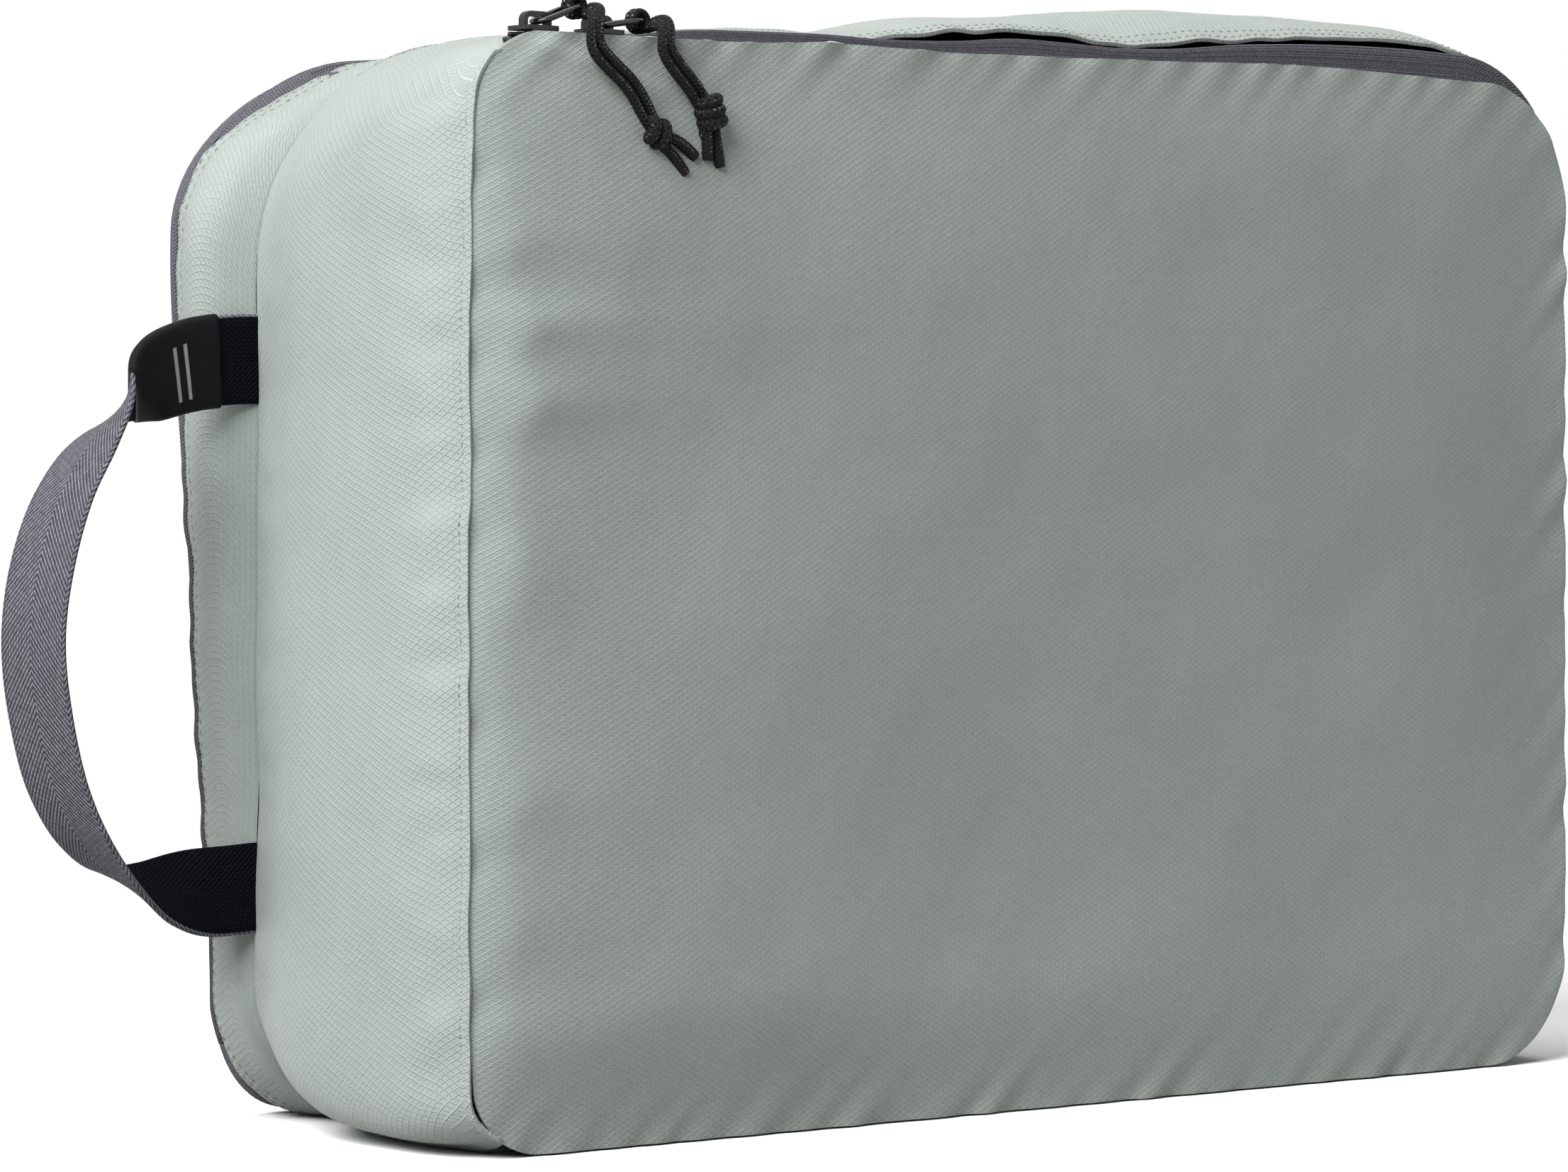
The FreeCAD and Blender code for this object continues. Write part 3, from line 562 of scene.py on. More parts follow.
def label_material():
    """Black satin label cloth with two thin light grey woven stripes that run across the strap; the
    stripes are told by the first cloth coordinate, and their ends by the second."""
    material, tree, shader = new_material("label satin")
    along, across = split(tree, coordinates(tree)[0])
    stripes = [falling_range(tree, away_from(tree, along, at), 0.42, 0.58) for at in (9.5, 12.5)]
    inside = falling_range(tree, away_from(tree, across, 11.0), 6.6, 6.8)
    stripes = calc(tree, "MULTIPLY", calc(tree, "MAXIMUM", *stripes), inside)
    yarn = as_share(tree, wave(tree, along, 21.0))
    satin = blend_colour(tree, yarn, (0.006, 0.006, 0.007, 1), (0.016, 0.016, 0.018, 1))
    relief = calc(tree, "MULTIPLY_ADD", stripes, 1.2, yarn)
    feed_all(tree, shader, Base_Color=blend_colour(tree, stripes, satin, (0.42, 0.43, 0.43, 1)),
             Roughness=0.5, Specular_IOR_Level=0.06, Normal=bump(tree, relief, 0.00012, 0.8))
    return material


# Each piece's line factor is painted sheen, set for how brightly that piece is lit.
PANEL_CLOTH = ripstop("ripstop panel", along=0.385, across=0.70, painted_line_sheen=1.5)
GUSSET_CLOTH = ripstop("ripstop gusset", along=0.57, across=0.37, painted_line_sheen=1.2)
LINING = ripstop("divider lining", along=0.41, across=0.41, painted_line_sheen=0.95)
ZIP_TAPE = woven("zip tape", (0.1, 0.097, 0.117, 1), (0.25, 0.243, 0.28, 1), wale=1.6, rib=0.9)
BINDING = woven("binding tape", (0.05, 0.05, 0.056, 1), (0.09, 0.09, 0.1, 1), wale=2.4, rib=0.8)
WEBBING = webbing_material()
BRAID = braid_material()
LABEL = label_material()
SLIDER_METAL = enamel_material("slider enamel", (0.012, 0.012, 0.013, 1), roughness=0.34)
RING_WIRE = enamel_material("ring enamel", (0.045, 0.045, 0.048, 1), roughness=0.2, metal=0.9)
COIL = coil_material()
# The thread's own sage, made darker than the cloth as painted shade of the sunk stitches.
SHADE_DARKENED_THREAD = thread_material("sage thread with painted shade", (0.27, 0.305, 0.285, 1))


# ---------------------------------------------------------------- the two shells

# A compartment's measures in its own frame. seam and rim are the depths of the middle seam and of the
# band's edge at the zip, and start is where the zip begins along x. radii are the panel's corners from
# the low left one against the clock, foot and shoulder the band's low left and high left ones by share
# of the depth, and far_seam the high right one at the middle seam. across and far are the swell by
# depth on the hinge side and on the far one, side and bulge the far side's swell by height, proud what
# it adds at the middle seam, and drop how far the top falls towards the handle. crown, crest and height
# shape the top; hem and ridge are the heights of its seam with the zip and of the tape's fold, and edge
# that of the panel's edge above the rim. rounding, scallops and dents shape the panel's roll towards
# its hinge seam, and creases are its longer folds. A pair of lists holds places and the values there.
FRONT = {
    "word": "front", "turn": 1.0, "flap": "front_flap", "seam": 24.0, "rim": -46.5, "start": -171.0,
    "radii": (15.0, 30.0, 30.0, 15.0),
    "foot": ([0, 0.15, 0.45, 0.8, 1], [15, 11, 10, 20, SEAM_CORNER]),
    "shoulder": ([0, 0.3, 0.6, 1], [15, 24, 38, SEAM_CORNER_BY_HANDLE]), "far_seam": SEAM_CORNER, "seed": 3,
    "across": ([-59.2, -56.4, -52.5, -47.5, -40.0, -28.0, -10.0, 2.0, 11.0, 18.0, 22.0, 24.0],
               [4.4, 6.2, 8.4, 10.0, 11.2, 11.6, 11.2, 10.0, 8.3, 6.6, 5.7, 5.3]),
    "far": ([-46.5, -40.0, -22.0, 0.0, 15.0, 24.0], [0.2, 0.8, 1.0, 0.8, 0.4, 0.1]),
    "bulge": ([0, 254], [0, 0]), "side": ([0, 254], [4, 4]),
    "crown": ([-46.5, -36.0, -20.0, 0.0, 14.0, 24.0], [0.0, 0.52, 1.0, 0.78, 0.36, 0.0]), "crest": -20.0,
    "height": ([-179, -150, -100, -52, -29, -7, 20, 48, 67, 88, 118, 139, 155, 179],
               [253.5, 255.4, 257.8, 261.6, 265.1, 267.3, 269.0, 271.0, 272.3, 273.0, 273.2, 272.2, 270.2,
                266.6]),
    "hem": ([-179, -165, -140, -113, -88, -69, -50, -24, -8, 10, 30, 44, 73, 85, 113, 133, 148, 165, 179],
            [253.6, 254.0, 254.6, 256.5, 257.2, 257.9, 259.4, 261.0, 261.8, 261.8, 261.4, 262.1, 264.3, 265.0,
             266.0, 266.0, 265.2, 262.0, 256.0]),
    "ridge": ([-179, -160, -135, -113, -88, -69, -50, -25, -9, 8, 29, 43, 71, 83, 112, 133, 148, 163, 179],
              [253.2, 253.6, 254.4, 257.3, 258.2, 258.5, 258.2, 259.0, 260.3, 260.2, 259.7, 260.2, 262.6,
               263.3, 264.2, 264.2, 263.8, 264.0, 265.0]),
    "edge": ([-179, -160, -121, -97, -78, -59, -35, -19, -2, 19, 33, 61, 73, 101, 122, 137, 151, 179],
             [0.3, 0.6, 0.7, 1.0, 2.0, 1.7, 1.4, 1.8, 1.9, 2.4, 2.6, 3.4, 3.7, 3.4, 2.9, 2.4, 2.2, 1.0]),
    "rounding": 4.6,
    "scallops": ([0, 13, 25, 36, 54, 68, 80, 98, 115, 130, 151, 161, 169, 180, 188, 196, 206, 214, 222,
                  240, 254],
                 [5, 6, 9, 5, 10, 6.5, 11, 4, 6, 11, 9, 8.5, 15, 10, 14, 4.5, 9.5, 7, 5, 5, 4]),
    "dents": [222, 196, 180, 160, 141, 98, 68, 36],
    "creases": [((-170.0, 252.0), (-124.0, 240.0), 2.6, 0.7)],
}
REAR = {
    "word": "rear", "turn": -1.0, "flap": "rear_flap", "seam": -24.0, "rim": -46.5, "start": -159.0,
    "radii": (16.0, 27.0, 40.0, 16.0), "foot": ([0, 1], [16, SEAM_CORNER]),
    "shoulder": ([0, 1], [16, SEAM_CORNER]),
    "far_seam": SEAM_CORNER_BY_HANDLE, "seed": 11,
    "across": ([-59.2, -48.0, -36.0, -24.0], [1.0, 3.0, 3.0, 0.6]),
    "far": ([-46.5, -43.0, -38.0, -33.0, -28.5, -24.0], [0.55, 0.82, 1.0, 0.94, 0.6, 0.0]), "proud": 5.0,
    "drop": ([-179, 105, 140, 179], [0, 0, -2.8, -7.0]),
    "bulge": ([0, 22, 43, 78, 108, 129, 159, 211, 236, 254], [-5, -5, -4, -1, 0.7, 2.0, 4.4, 7.6, 6.5, 4.0]),
    "side": ([0, 22, 43, 78, 108, 129, 159, 190, 211, 236, 254],
             [2, 4, 5, 7.5, 9.5, 10.5, 12.6, 14.6, 15.2, 13.4, 7]),
    "crown": ([-46.5, -40.0, -34.0, -24.0], [0.0, 0.75, 1.0, 0.0]), "crest": -34.0,
    "height": ([-179, -120, -40, 60, 120, 150, 179], [260.5, 264.5, 266.5, 264.5, 257.6, 252.8, 248.0]),
    "hem": ([-179, -120, 0, 100, 140, 179], [254.6, 257.5, 258.6, 256.2, 252.9, 248.4]),
    "ridge": ([-179, -120, 0, 100, 140, 179], [254.6, 257.2, 258.2, 256.4, 253.9, 249.9]),
    "edge": ([-179, -100, 0, 100, 140, 179], [0.3, 1.4, 1.8, 0.8, -2.4, -6.0]),
    "rounding": 2.5, "scallops": ([0, 60, 120, 180, 254], [6, 9, 6, 10, 5]), "dents": [205, 150, 88, 50],
}


def placed(half, points):
    """From a compartment's own frame to the cube's: half a turn about Z for the rear one."""
    return points * np.array([half["turn"], half["turn"], 1.0])


def outline_point(place, left, right, low, high, radii):
    """A point of a rounded rectangle and its outward normal. place runs 0 to 8: up the left side, the
    high left corner, the top, the high right corner, down the right side, the low right corner, back
    along the bottom, and the low left corner. Each whole number is a side or a quarter circle."""
    place = np.mod(place, 8.0)
    kind = np.minimum(np.floor(place).astype(int), 7)
    share = place - kind
    low_left, low_right, high_right, high_left = radii
    x, z, normal_x, normal_z = np.zeros((4,) + np.broadcast(place, left).shape)
    sides = [
        (0, left, between(low + low_left, high - high_left, share), -1.0, 0.0),
        (2, between(left + high_left, right - high_right, share), high, 0.0, 1.0),
        (4, right, between(high - high_right, low + low_right, share), 1.0, 0.0),
        (6, between(right - low_right, left + low_left, share), low, 0.0, -1.0),
    ]
    for number, side_x, side_z, out_x, out_z in sides:
        here = kind == number
        x = np.where(here, side_x, x)
        z = np.where(here, side_z, z)
        normal_x = np.where(here, out_x, normal_x)
        normal_z = np.where(here, out_z, normal_z)
    corners = [
        (1, left + high_left, high - high_left, high_left, 180.0),
        (3, right - high_right, high - high_right, high_right, 90.0),
        (5, right - low_right, low + low_right, low_right, 0.0),
        (7, left + low_left, low + low_left, low_left, -90.0),
    ]
    for number, centre_x, centre_z, radius, start in corners:
        angle = np.radians(start - 90.0 * share)
        here = kind == number
        x = np.where(here, centre_x + radius * np.cos(angle), x)
        z = np.where(here, centre_z + radius * np.sin(angle), z)
        normal_x = np.where(here, np.cos(angle), normal_x)
        normal_z = np.where(here, np.sin(angle), normal_z)
    return x, z, normal_x, normal_z


def top_height(half, x, y):
    """How high the band's top is at x and depth y: from the hem's line up to the crest's and down to the
    middle seam, by the share of the crown at that depth."""
    share = through(y, *half["crown"])
    crest = through(x, *half["height"])
    return np.where(y < half["crest"], between(through(x, *half["hem"]), crest, share),
                    between(SEAM_TOP, crest, share))


def band_at(half, place, y):
    """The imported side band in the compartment's own frame: a rounded rectangle whose corners open from
    the panel's to the middle seam's, moved out along its normal by the side's swell or to the crown's
    height, drawn in at the middle seam, with a hem that stands up along the hinge seam, puckers that
    fade away from each seam and soft wrinkles."""
    place, y = np.broadcast_arrays(np.asarray(place, float), np.asarray(y, float))
    seam = half["seam"]
    depth = np.clip((y - PANEL_BACK) / (seam - PANEL_BACK), 0.0, 1.0)
    _, low_right, high_right, _ = half["radii"]
    radii = (through(depth, *half["foot"]), between(low_right, SEAM_CORNER, depth),
             between(high_right, half["far_seam"], depth), through(depth, *half["shoulder"]))
    high = RIM + 3.4 * eased(PANEL_BACK, half["rim"], y) + 0.6 * depth
    left = np.full(y.shape, -SIDE)
    x, z, out_x, out_z = outline_point(place, left, -left, np.zeros(y.shape), high, radii)
    on_left = np.clip(-out_x, 0, 1) ** 2
    on_right = np.clip(out_x, 0, 1) ** 2
    on_top = np.clip(out_z, 0, 1) ** 2
    bottom = np.clip(-out_z, 0, 1) ** 2
    rise = 2.0 * z / RIM - 1.0
    upright = 1.0 - np.clip(rise, 0, 1) ** 6 - np.clip(-rise, 0, 1) ** 24
    side = through(z, *half["side"])
    loose = 1.0 - eased(half["rim"], half["rim"] + 5.0, y)
    swell = (on_left * through(y, *half["across"]) * upright
             + on_right * (through(y, *half["far"]) * side + 0.4 * loose * through(z, *half["bulge"])
                           + half.get("proud", 0.0) * np.exp(-((y - seam) / 8.0) ** 2)) * upright
             + on_top * (top_height(half, x, y) - high))
    around = np.where(on_left + on_right > 0.5, z, x)
    from_seam = np.abs(seam - y)
    from_rim = np.abs(y - half["rim"])
    from_hem = y - HINGE_EDGE
    seed = half["seed"]
    free = 1.0 - bottom
    hem = on_left * (0.8 * (1.0 - eased(1.5, 2.0, from_hem)) - 0.45 * np.exp(-((from_hem - 2.5) / 0.5) ** 2))
    beside = on_right if half is REAR else on_left
    waist = np.exp(-(from_seam / 13.0) ** 2) * beside * np.exp(-((z - 128.0) / 75.0) ** 4)
    held = 1.0 - np.exp(-(from_seam / 3.0) ** 2)
    swell = swell + hem - (0.9 - 0.65 * beside) * np.exp(-from_seam / 1.6) - 1.0 * waist + free * (
        0.5 * wrinkles(around, y * 0.2, seed, 13.0, 26.0, 6) * np.exp(-from_seam / 10.0) * held
        + 0.3 * wrinkles(around, y * 0.2, seed + 1, 9.0, 20.0, 6) * np.exp(-from_rim / 7.0)
        + 0.55 * on_left * wrinkles(around, y * 0.35, seed + 3, 9.0, 22.0, 7)
        * np.exp(-((from_hem - 6.5) / 5.5) ** 2)
        + 0.5 * wrinkles(around, y, seed + 2, 40.0, 95.0, 8)
        + 0.05 * wrinkles(around, y, seed + 5, 12.0, 26.0, 9))
    z = z + out_z * swell * (1 - bottom) + 0.25 * bottom
    return np.stack([x + out_x * swell * (1 - bottom), y, np.maximum(z, 0.25)], axis=-1)


def gusset_at(half, place, y):
    """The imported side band, placed in the cube."""
    return placed(half, band_at(half, place, y))


# Steps along each side and corner of a loop, and the columns in the middle of the left side and of the
# bottom: a band's grid begins in the bottom's middle, and its cloth coordinate is 0 on the left.
LOOP_STEPS = [92, 14, 132, 18, 92, 18, 132, 14]
LEFT_MIDDLE = LOOP_STEPS[0] // 2
BOTTOM_MIDDLE = sum(LOOP_STEPS[:6]) + LOOP_STEPS[6] // 2


def loop_places(first=0, last=8):
    parts = [number + np.arange(LOOP_STEPS[number]) / LOOP_STEPS[number] for number in range(first, last)]
    return np.concatenate(parts)


def rim_outline(half, place, inwards):
    """The zip's rim a given distance inside it: x, z and the outward normal, its far side moved out
    by the side's bulge."""
    _, low_right, high_right, _ = half["radii"]
    left = -SIDE + inwards
    far = (low_right - inwards, high_right - inwards)
    near = np.maximum(8.0 - inwards, 2.0)
    x, z, out_x, out_z = outline_point(place, left, -left, inwards * 1.0, RIM + 1.8 - inwards,
                                       (near, far[0], far[1], near))
    lower = through(x, *half.get("drop", ([-SIDE, SIDE], [0, 0]))) * np.clip(z / RIM, 0.0, 1.0) ** 3
    return x + np.clip(out_x, 0, 1) * through(z, *half["bulge"]), z + lower, out_x, out_z


def rim_edge(half, place):
    """Where the band's open edge lies: proud of the hinge seam on the left, and set back at the zip."""
    x, _, _, _ = outline_point(place, -SIDE, SIDE, 0.0, RIM, half["radii"])
    zip_side = eased(half["start"] - 4.0, half["start"] + 3.0, x)
    zip_side = np.where(np.mod(place, 8.0) < 1.0, 0.0, zip_side)
    return between(HINGE_EDGE, half["rim"], zip_side)


def add_gusset(half):
    """Rows of the band from its open edge to the middle seam, close together at the hem and the seam."""
    columns = np.roll(loop_places(), -BOTTOM_MIDDLE)
    zero = (LEFT_MIDDLE - BOTTOM_MIDDLE) % columns.size
    span = half["seam"] - HINGE_EDGE
    near = np.array([0.0, 0.4, 0.8, 1.2, 1.6, 2.0, 2.4, 2.8, 3.4, 4.2])
    rows = np.concatenate([near, np.arange(5.4, span - 8.0, 1.5), np.arange(span - 8.0, span - 0.3, 0.8),
                           [span]]) / span
    start = rim_edge(half, columns)[None, :]
    y = start + (half["seam"] - start) * rows[:, None]
    points = gusset_at(half, columns[None, :], y)
    closed = np.hstack([points, points[:, :1]])
    around = np.stack([arc_lengths(row) for row in closed])
    around = around - around[:, zero:zero + 1]
    over = np.linalg.norm(np.diff(points, axis=0), axis=2)
    over = np.vstack([np.zeros((1, over.shape[1])), np.cumsum(over, axis=0)])
    over = over - over[-1:]
    uv = np.stack([around, np.hstack([over, over[:, :1]])], axis=-1)
    name = half["word"] + "_gusset"
    piece = surface(name + "_cloth", points, uv, GUSSET_CLOTH, "bag", wraps=True)
    thicken(piece, GUSSET_CLOTH_WALL)
    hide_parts(name)


PANEL_SLOPE = 0.40
SLOPE_SOFTNESS = 1.5


def panel_at(half, x, z):
    """The outer face of a panel at x and height z. It rises from the hinge seam in a slope of scalloped
    width w, as a softened min(distance, w), and its top edge follows the zip. It bows a little in the
    middle, with dents where the seam's stitching pulls, seam puckers, wrinkles and creases."""
    x, z = np.broadcast_arrays(np.asarray(x, float), np.asarray(z, float))
    upright = plateau(z / RIM, 10)
    from_left = x + SIDE
    from_top = RIM - z
    from_right = SIDE - x
    out_x = x - 5.0 * upright * (1.0 - eased(0.0, 60.0, from_left)) \
        + eased(100.0, 178.0, x) * (through(z, *half["bulge"]) - 2.5 * (half is REAR))
    up = z + through(x, *half["edge"]) * np.clip(z / RIM, 0, 1) ** 3
    inside = eased(0.0, 34.0, from_top) * eased(0.0, 34.0, z) * eased(0.0, 40.0, from_right) \
        * eased(-6.0, 40.0, from_left)
    nearest = np.minimum(np.minimum(from_top, from_right), z)
    seed = half["seed"]
    roll = through(x, [-179, -165, -140, -100, 179], [9, 10, 20, 36, 30])
    open_end = (1.0 - np.exp(-(np.maximum(from_top, 0.0) / roll) ** 1.4)) * eased(0.0, 34.0, z)
    wide = through(z, *half["scallops"])
    beyond = from_left - wide
    soft = beyond / SLOPE_SOFTNESS
    slope = PANEL_SLOPE * (from_left - SLOPE_SOFTNESS * np.log1p(np.exp(np.clip(soft, -30.0, 30.0)))
                           - SLOPE_SOFTNESS * np.clip(soft - 30.0, 0.0, None))
    slope = slope + (half["rounding"] - PANEL_SLOPE * wide) * (1.0 - np.exp(-np.maximum(beyond, 0.0) / 15.0))
    dents = sum(np.exp(-((z - at) / 3.8) ** 2) for at in half["dents"])
    puff = (slope * open_end * (1.0 - 0.65 * eased(50.0, 320.0, from_left)) * eased(0.0, 60.0, from_right)
            - 0.9 * dents * open_end * np.exp(-((from_left - 2.0) / 6.0) ** 2)
            + 0.6 * inside + 0.7 * inside * wrinkles(x, z, seed + 20, 90.0, 190.0, 5)
            + 0.16 * inside * wrinkles(x, z, seed + 21, 30.0, 70.0, 8)
            + 0.03 * wrinkles(x, z, seed + 23, 10.0, 22.0, 9)
            + 0.5 * np.exp(-nearest / 7.0) * wrinkles(x - z, 0.2 * nearest, seed + 22, 12.0, 26.0, 6)
            - 0.7 * np.exp(-from_left / 1.4) + creases_at(half, x, z))
    return placed(half, np.stack([out_x, PANEL_BACK - PANEL_RISE - puff, up], axis=-1))


def creases_at(half, x, z):
    """The panel's few longer creases: soft ridges and hollows along lines (start, end, width, height)."""
    total = 0.0 * x
    for start, end, wide, height in half.get("creases", ()):
        total = total + height * crease(x, z, start, end, wide)
    return total


def corner_inset(z, floor, ceiling, low, high):
    """How far inwards a side with quarter circles of radius low and high at its ends lies at height z."""
    over_high = np.maximum(z - (ceiling - high), 0.0)
    over_low = np.maximum(floor + low - z, 0.0)
    return high - np.sqrt(np.maximum(high ** 2 - over_high ** 2, 0.0)) \
        + low - np.sqrt(np.maximum(low ** 2 - over_low ** 2, 0.0))


def panel_places(half, rows, columns):
    """Nominal x and z of a rounded rectangle's inside: rows at cosine spacing, each from the left
    edge to the right edge at that height."""
    floor, ceiling = 0.5, RIM - 0.5
    z = between(floor, ceiling, cosine_spaced(rows))[:, None]
    low_left, low_right, high_right, high_left = half["radii"]
    left, right = [SIDE - 0.6 - corner_inset(z, floor, ceiling, low, high)
                   for low, high in ((low_left, high_left), (low_right, high_right))]
    u = between(np.linspace(0.0, 1.0, columns), cosine_spaced(columns), 0.5)[None, :]
    return between(-left, right, u), np.broadcast_to(z, (rows, columns))


def hinge_blend(piece):
    """Bakes the piece's placement into its mesh; it is not blended between the bag and the flap."""
    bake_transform(piece)


def add_panel(half):
    x, z = panel_places(half, 118, 168)
    piece = surface(half["word"] + "_panel_cloth", panel_at(half, x, z), np.stack([x, z], axis=-1),
                    PANEL_CLOTH, None)
    thicken(piece, PANEL_CLOTH_WALL)
    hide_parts(half["word"] + "_panel")
    hinge_blend(piece)


# ---------------------------------------------------------------- zips

TAPE_INWARDS = 1.5
COIL_INWARDS = 3.0
COIL_PITCH = 1.5
COIL_SIDES = 8
PANEL_COIL_DEPTH = -53.1
GUSSET_COIL_DEPTH = -50.9


def zip_places(half):
    """The loop's places from the top of the zip, round the far side, to its end underneath."""
    places = np.append(loop_places(2, 7), 6.9999)
    x, _, _, _ = rim_outline(half, places, TAPE_INWARDS)
    return places[x > half["start"] + 7.0]


def rim_at(half, place, inwards, y, outwards=0.0):
    """A point a given distance inside the zip's rim and a distance outwards along its normal."""
    place, inwards, y, outwards = np.broadcast_arrays(np.asarray(place, float), inwards,
                                                      np.asarray(y, float), outwards)
    x, z, out_x, out_z = rim_outline(half, place, inwards)
    return placed(half, np.stack([x + out_x * outwards, y, z + out_z * outwards], axis=-1))


def band_lifts(half, places):
    """How far out of the rim the tape's upright fold reaches, and how far out its edge lies where it is
    tucked under the side band."""
    x, z, out_x, out_z = rim_outline(half, places, TAPE_INWARDS)
    cloth = band_at(half, places, half["rim"] + 1.0)
    tuck = (cloth[:, 0] - x) * out_x + (cloth[:, 2] - z) * out_z - 1.25
    lower = through(x, *half["drop"]) if half is REAR else 0.0
    fold = between(tuck + (1.7 if half is REAR else 0.3), through(x, *half["ridge"]) - 254.3 - lower,
                   eased(0.2, 0.62, out_z))
    fold = np.where(out_z < -0.3, 0.2, fold)
    return np.maximum(fold, 0.2), np.clip(tuck, -6.0, np.maximum(fold, 0.2))


def add_tape(half, name, profile, body, node_name, wale_start=0.0):
    """A tape with a closed cross-section, carried along the zip: profile is (distance inside the rim,
    depth y, share of the fold's lift, share of the tuck's lift) round the section."""
    places = zip_places(half)
    fold, tuck = band_lifts(half, places)
    rows = [rim_at(half, places, inwards, y, by_fold * fold + by_tuck * tuck)
            for inwards, y, by_fold, by_tuck in profile]
    section = np.array([row[places.size // 3] for row in rows + rows[:1]])
    strip(name, rows, arc_lengths(rows[0]), wale_start + arc_lengths(section), ZIP_TAPE, body, "zip_tape",
          node_name)


FLAT_TAPE = [(1.68, -57.1, 0, 0), (1.42, -56.4, 0, 0), (1.3, -55.0, 0, 0), (1.35, -53.6, 0, 0),
             (1.55, -52.65, 0, 0), (2.1, -52.65, 0, 0), (2.1, -53.6, 0, 0), (2.05, -55.0, 0, 0),
             (2.1, -56.4, 0, 0), (2.1, -57.1, 0, 0)]
FOLDED_TAPE = [(1.6, -51.35, 0, 0), (1.5, -50.6, 0, 0), (1.5, -49.6, 0, 0), (1.5, -48.6, 0.01, 0),
               (1.5, -47.9, 0.05, 0), (1.5, -47.62, 0.25, 0), (1.5, -47.42, 0.55, 0), (1.5, -47.2, 0.84, 0),
               (1.5, -47.0, 0.96, 0), (1.5, -46.75, 1.0, 0), (1.5, -46.45, 0.45, 0.5), (1.5, -46.0, 0, 1),
               (1.5, -44.0, 0, 1), (1.5, -42.4, 0, 1), (2.1, -42.4, 0, 1), (2.1, -44.0, 0, 1),
               (2.1, -45.9, 0, 1), (2.1, -46.3, 0.4, 0.5), (2.1, -46.6, 0.84, 0), (2.1, -46.8, 0.55, 0),
               (2.1, -47.0, 0.25, 0), (2.1, -47.3, 0.05, 0), (2.1, -48.0, 0, 0), (2.1, -49.6, 0, 0),
               (2.1, -51.35, 0, 0)]


def add_coil(half, word, centre, body, node_name):
    """Half of the zip's coil: a round bead along the rim that swells and thins at each turn of the
    filament, so that its radius is 0.72 + 0.28 |sin| of the distance along."""
    places = zip_places(half)
    lengths = arc_lengths(rim_at(half, places, COIL_INWARDS, centre))
    wanted = np.linspace(0.0, lengths[-1], int(lengths[-1] / COIL_PITCH * 3))
    along_places = np.interp(wanted, lengths, places)
    angles = np.linspace(0.0, FULL_TURN, COIL_SIDES, endpoint=False)[:, None]
    radius = 0.72 + 0.28 * np.abs(np.sin(wanted / COIL_PITCH * math.pi))[None, :]
    inwards = COIL_INWARDS - radius * np.cos(angles) * 0.85
    y = centre + radius * np.sin(angles)
    rows = [coil_track(half, along_places, *ring) for ring in zip(inwards, y)]
    strip(half["word"] + "_coil_" + word, rows, wanted, np.arange(COIL_SIDES + 1) * 0.8, COIL, body,
          "zip_coil", node_name)


def coil_track(half, place, inwards, y):
    """As rim_at, for a distance inside the rim that changes along it."""
    base = rim_at(half, place, COIL_INWARDS, 0.0)
    deeper = rim_at(half, place, COIL_INWARDS + 1.0, 0.0)
    points = base + (deeper - base) * (inwards - COIL_INWARDS)[:, None]
    points[:, 1] = y * half["turn"]
    return points


def add_zip(half):
    word = half["word"]
    add_tape(half, word + "_tape_on_panel", FLAT_TAPE, half["flap"], word + "_zip_tape_panel")
    add_tape(half, word + "_tape_on_gusset", FOLDED_TAPE, "bag", word + "_zip_tape_gusset", 4.0)
    add_coil(half, "on_panel", PANEL_COIL_DEPTH, half["flap"], word + "_zip_coil_panel")
    add_coil(half, "on_gusset", GUSSET_COIL_DEPTH, "bag", word + "_zip_coil_gusset")


# ---------------------------------------------------------------- seams and stitches

# Pitch, length and thickness of the stitches in each kind of row.
ZIP_STITCHES = (2.7, 1.7, 0.55)
HINGE_STITCHES = (2.0, 1.5, 0.46)
PANEL_STITCHES = (2.2, 1.7, 0.46)


def panel_edge_at(half, place, by):
    """The panel's face a distance by inside its edge."""
    radii = tuple(radius - by for radius in half["radii"])
    x, z, _, _ = outline_point(place, -SIDE + 0.6 + by, SIDE - 0.6 - by, 0.5 + by, RIM - 0.5 - by, radii)
    return panel_at(half, x, z)


def add_seams(half):
    """Topstitching: two rows beside the zip on the band, one along its hinge fold, and one round the
    panel's edge. The last has a known fault: its distance from the edge is held at 2.2, whatever
    stitch_row asks for, so its stitches get no sideways direction and have no thickness."""
    word = half["word"]
    at = partial(gusset_at, half)
    places = zip_places(half)
    band = [stitch_row(at, places, np.full(places.shape, half["rim"] + distance), *ZIP_STITCHES)
            for distance in (2.0, 5.0)]
    hinge = np.linspace(0.02, 1.9, 260)
    band.append(stitch_row(at, hinge, np.full(hinge.shape, HINGE_EDGE + 2.5), *HINGE_STITCHES))
    stitches(word + "_gusset_stitches", band, "bag")
    round_panel = np.linspace(1.6, 6.97, 700)
    row = stitch_row(lambda place, _: panel_edge_at(half, place, 2.2), round_panel,
                     np.full(round_panel.shape, 2.2), *PANEL_STITCHES)
    hinge_blend(stitches(word + "_panel_stitches", [row], None))


for half in (FRONT, REAR):
    add_gusset(half)
    add_panel(half)
    add_zip(half)


# ---------------------------------------------------------------- divider and bindings

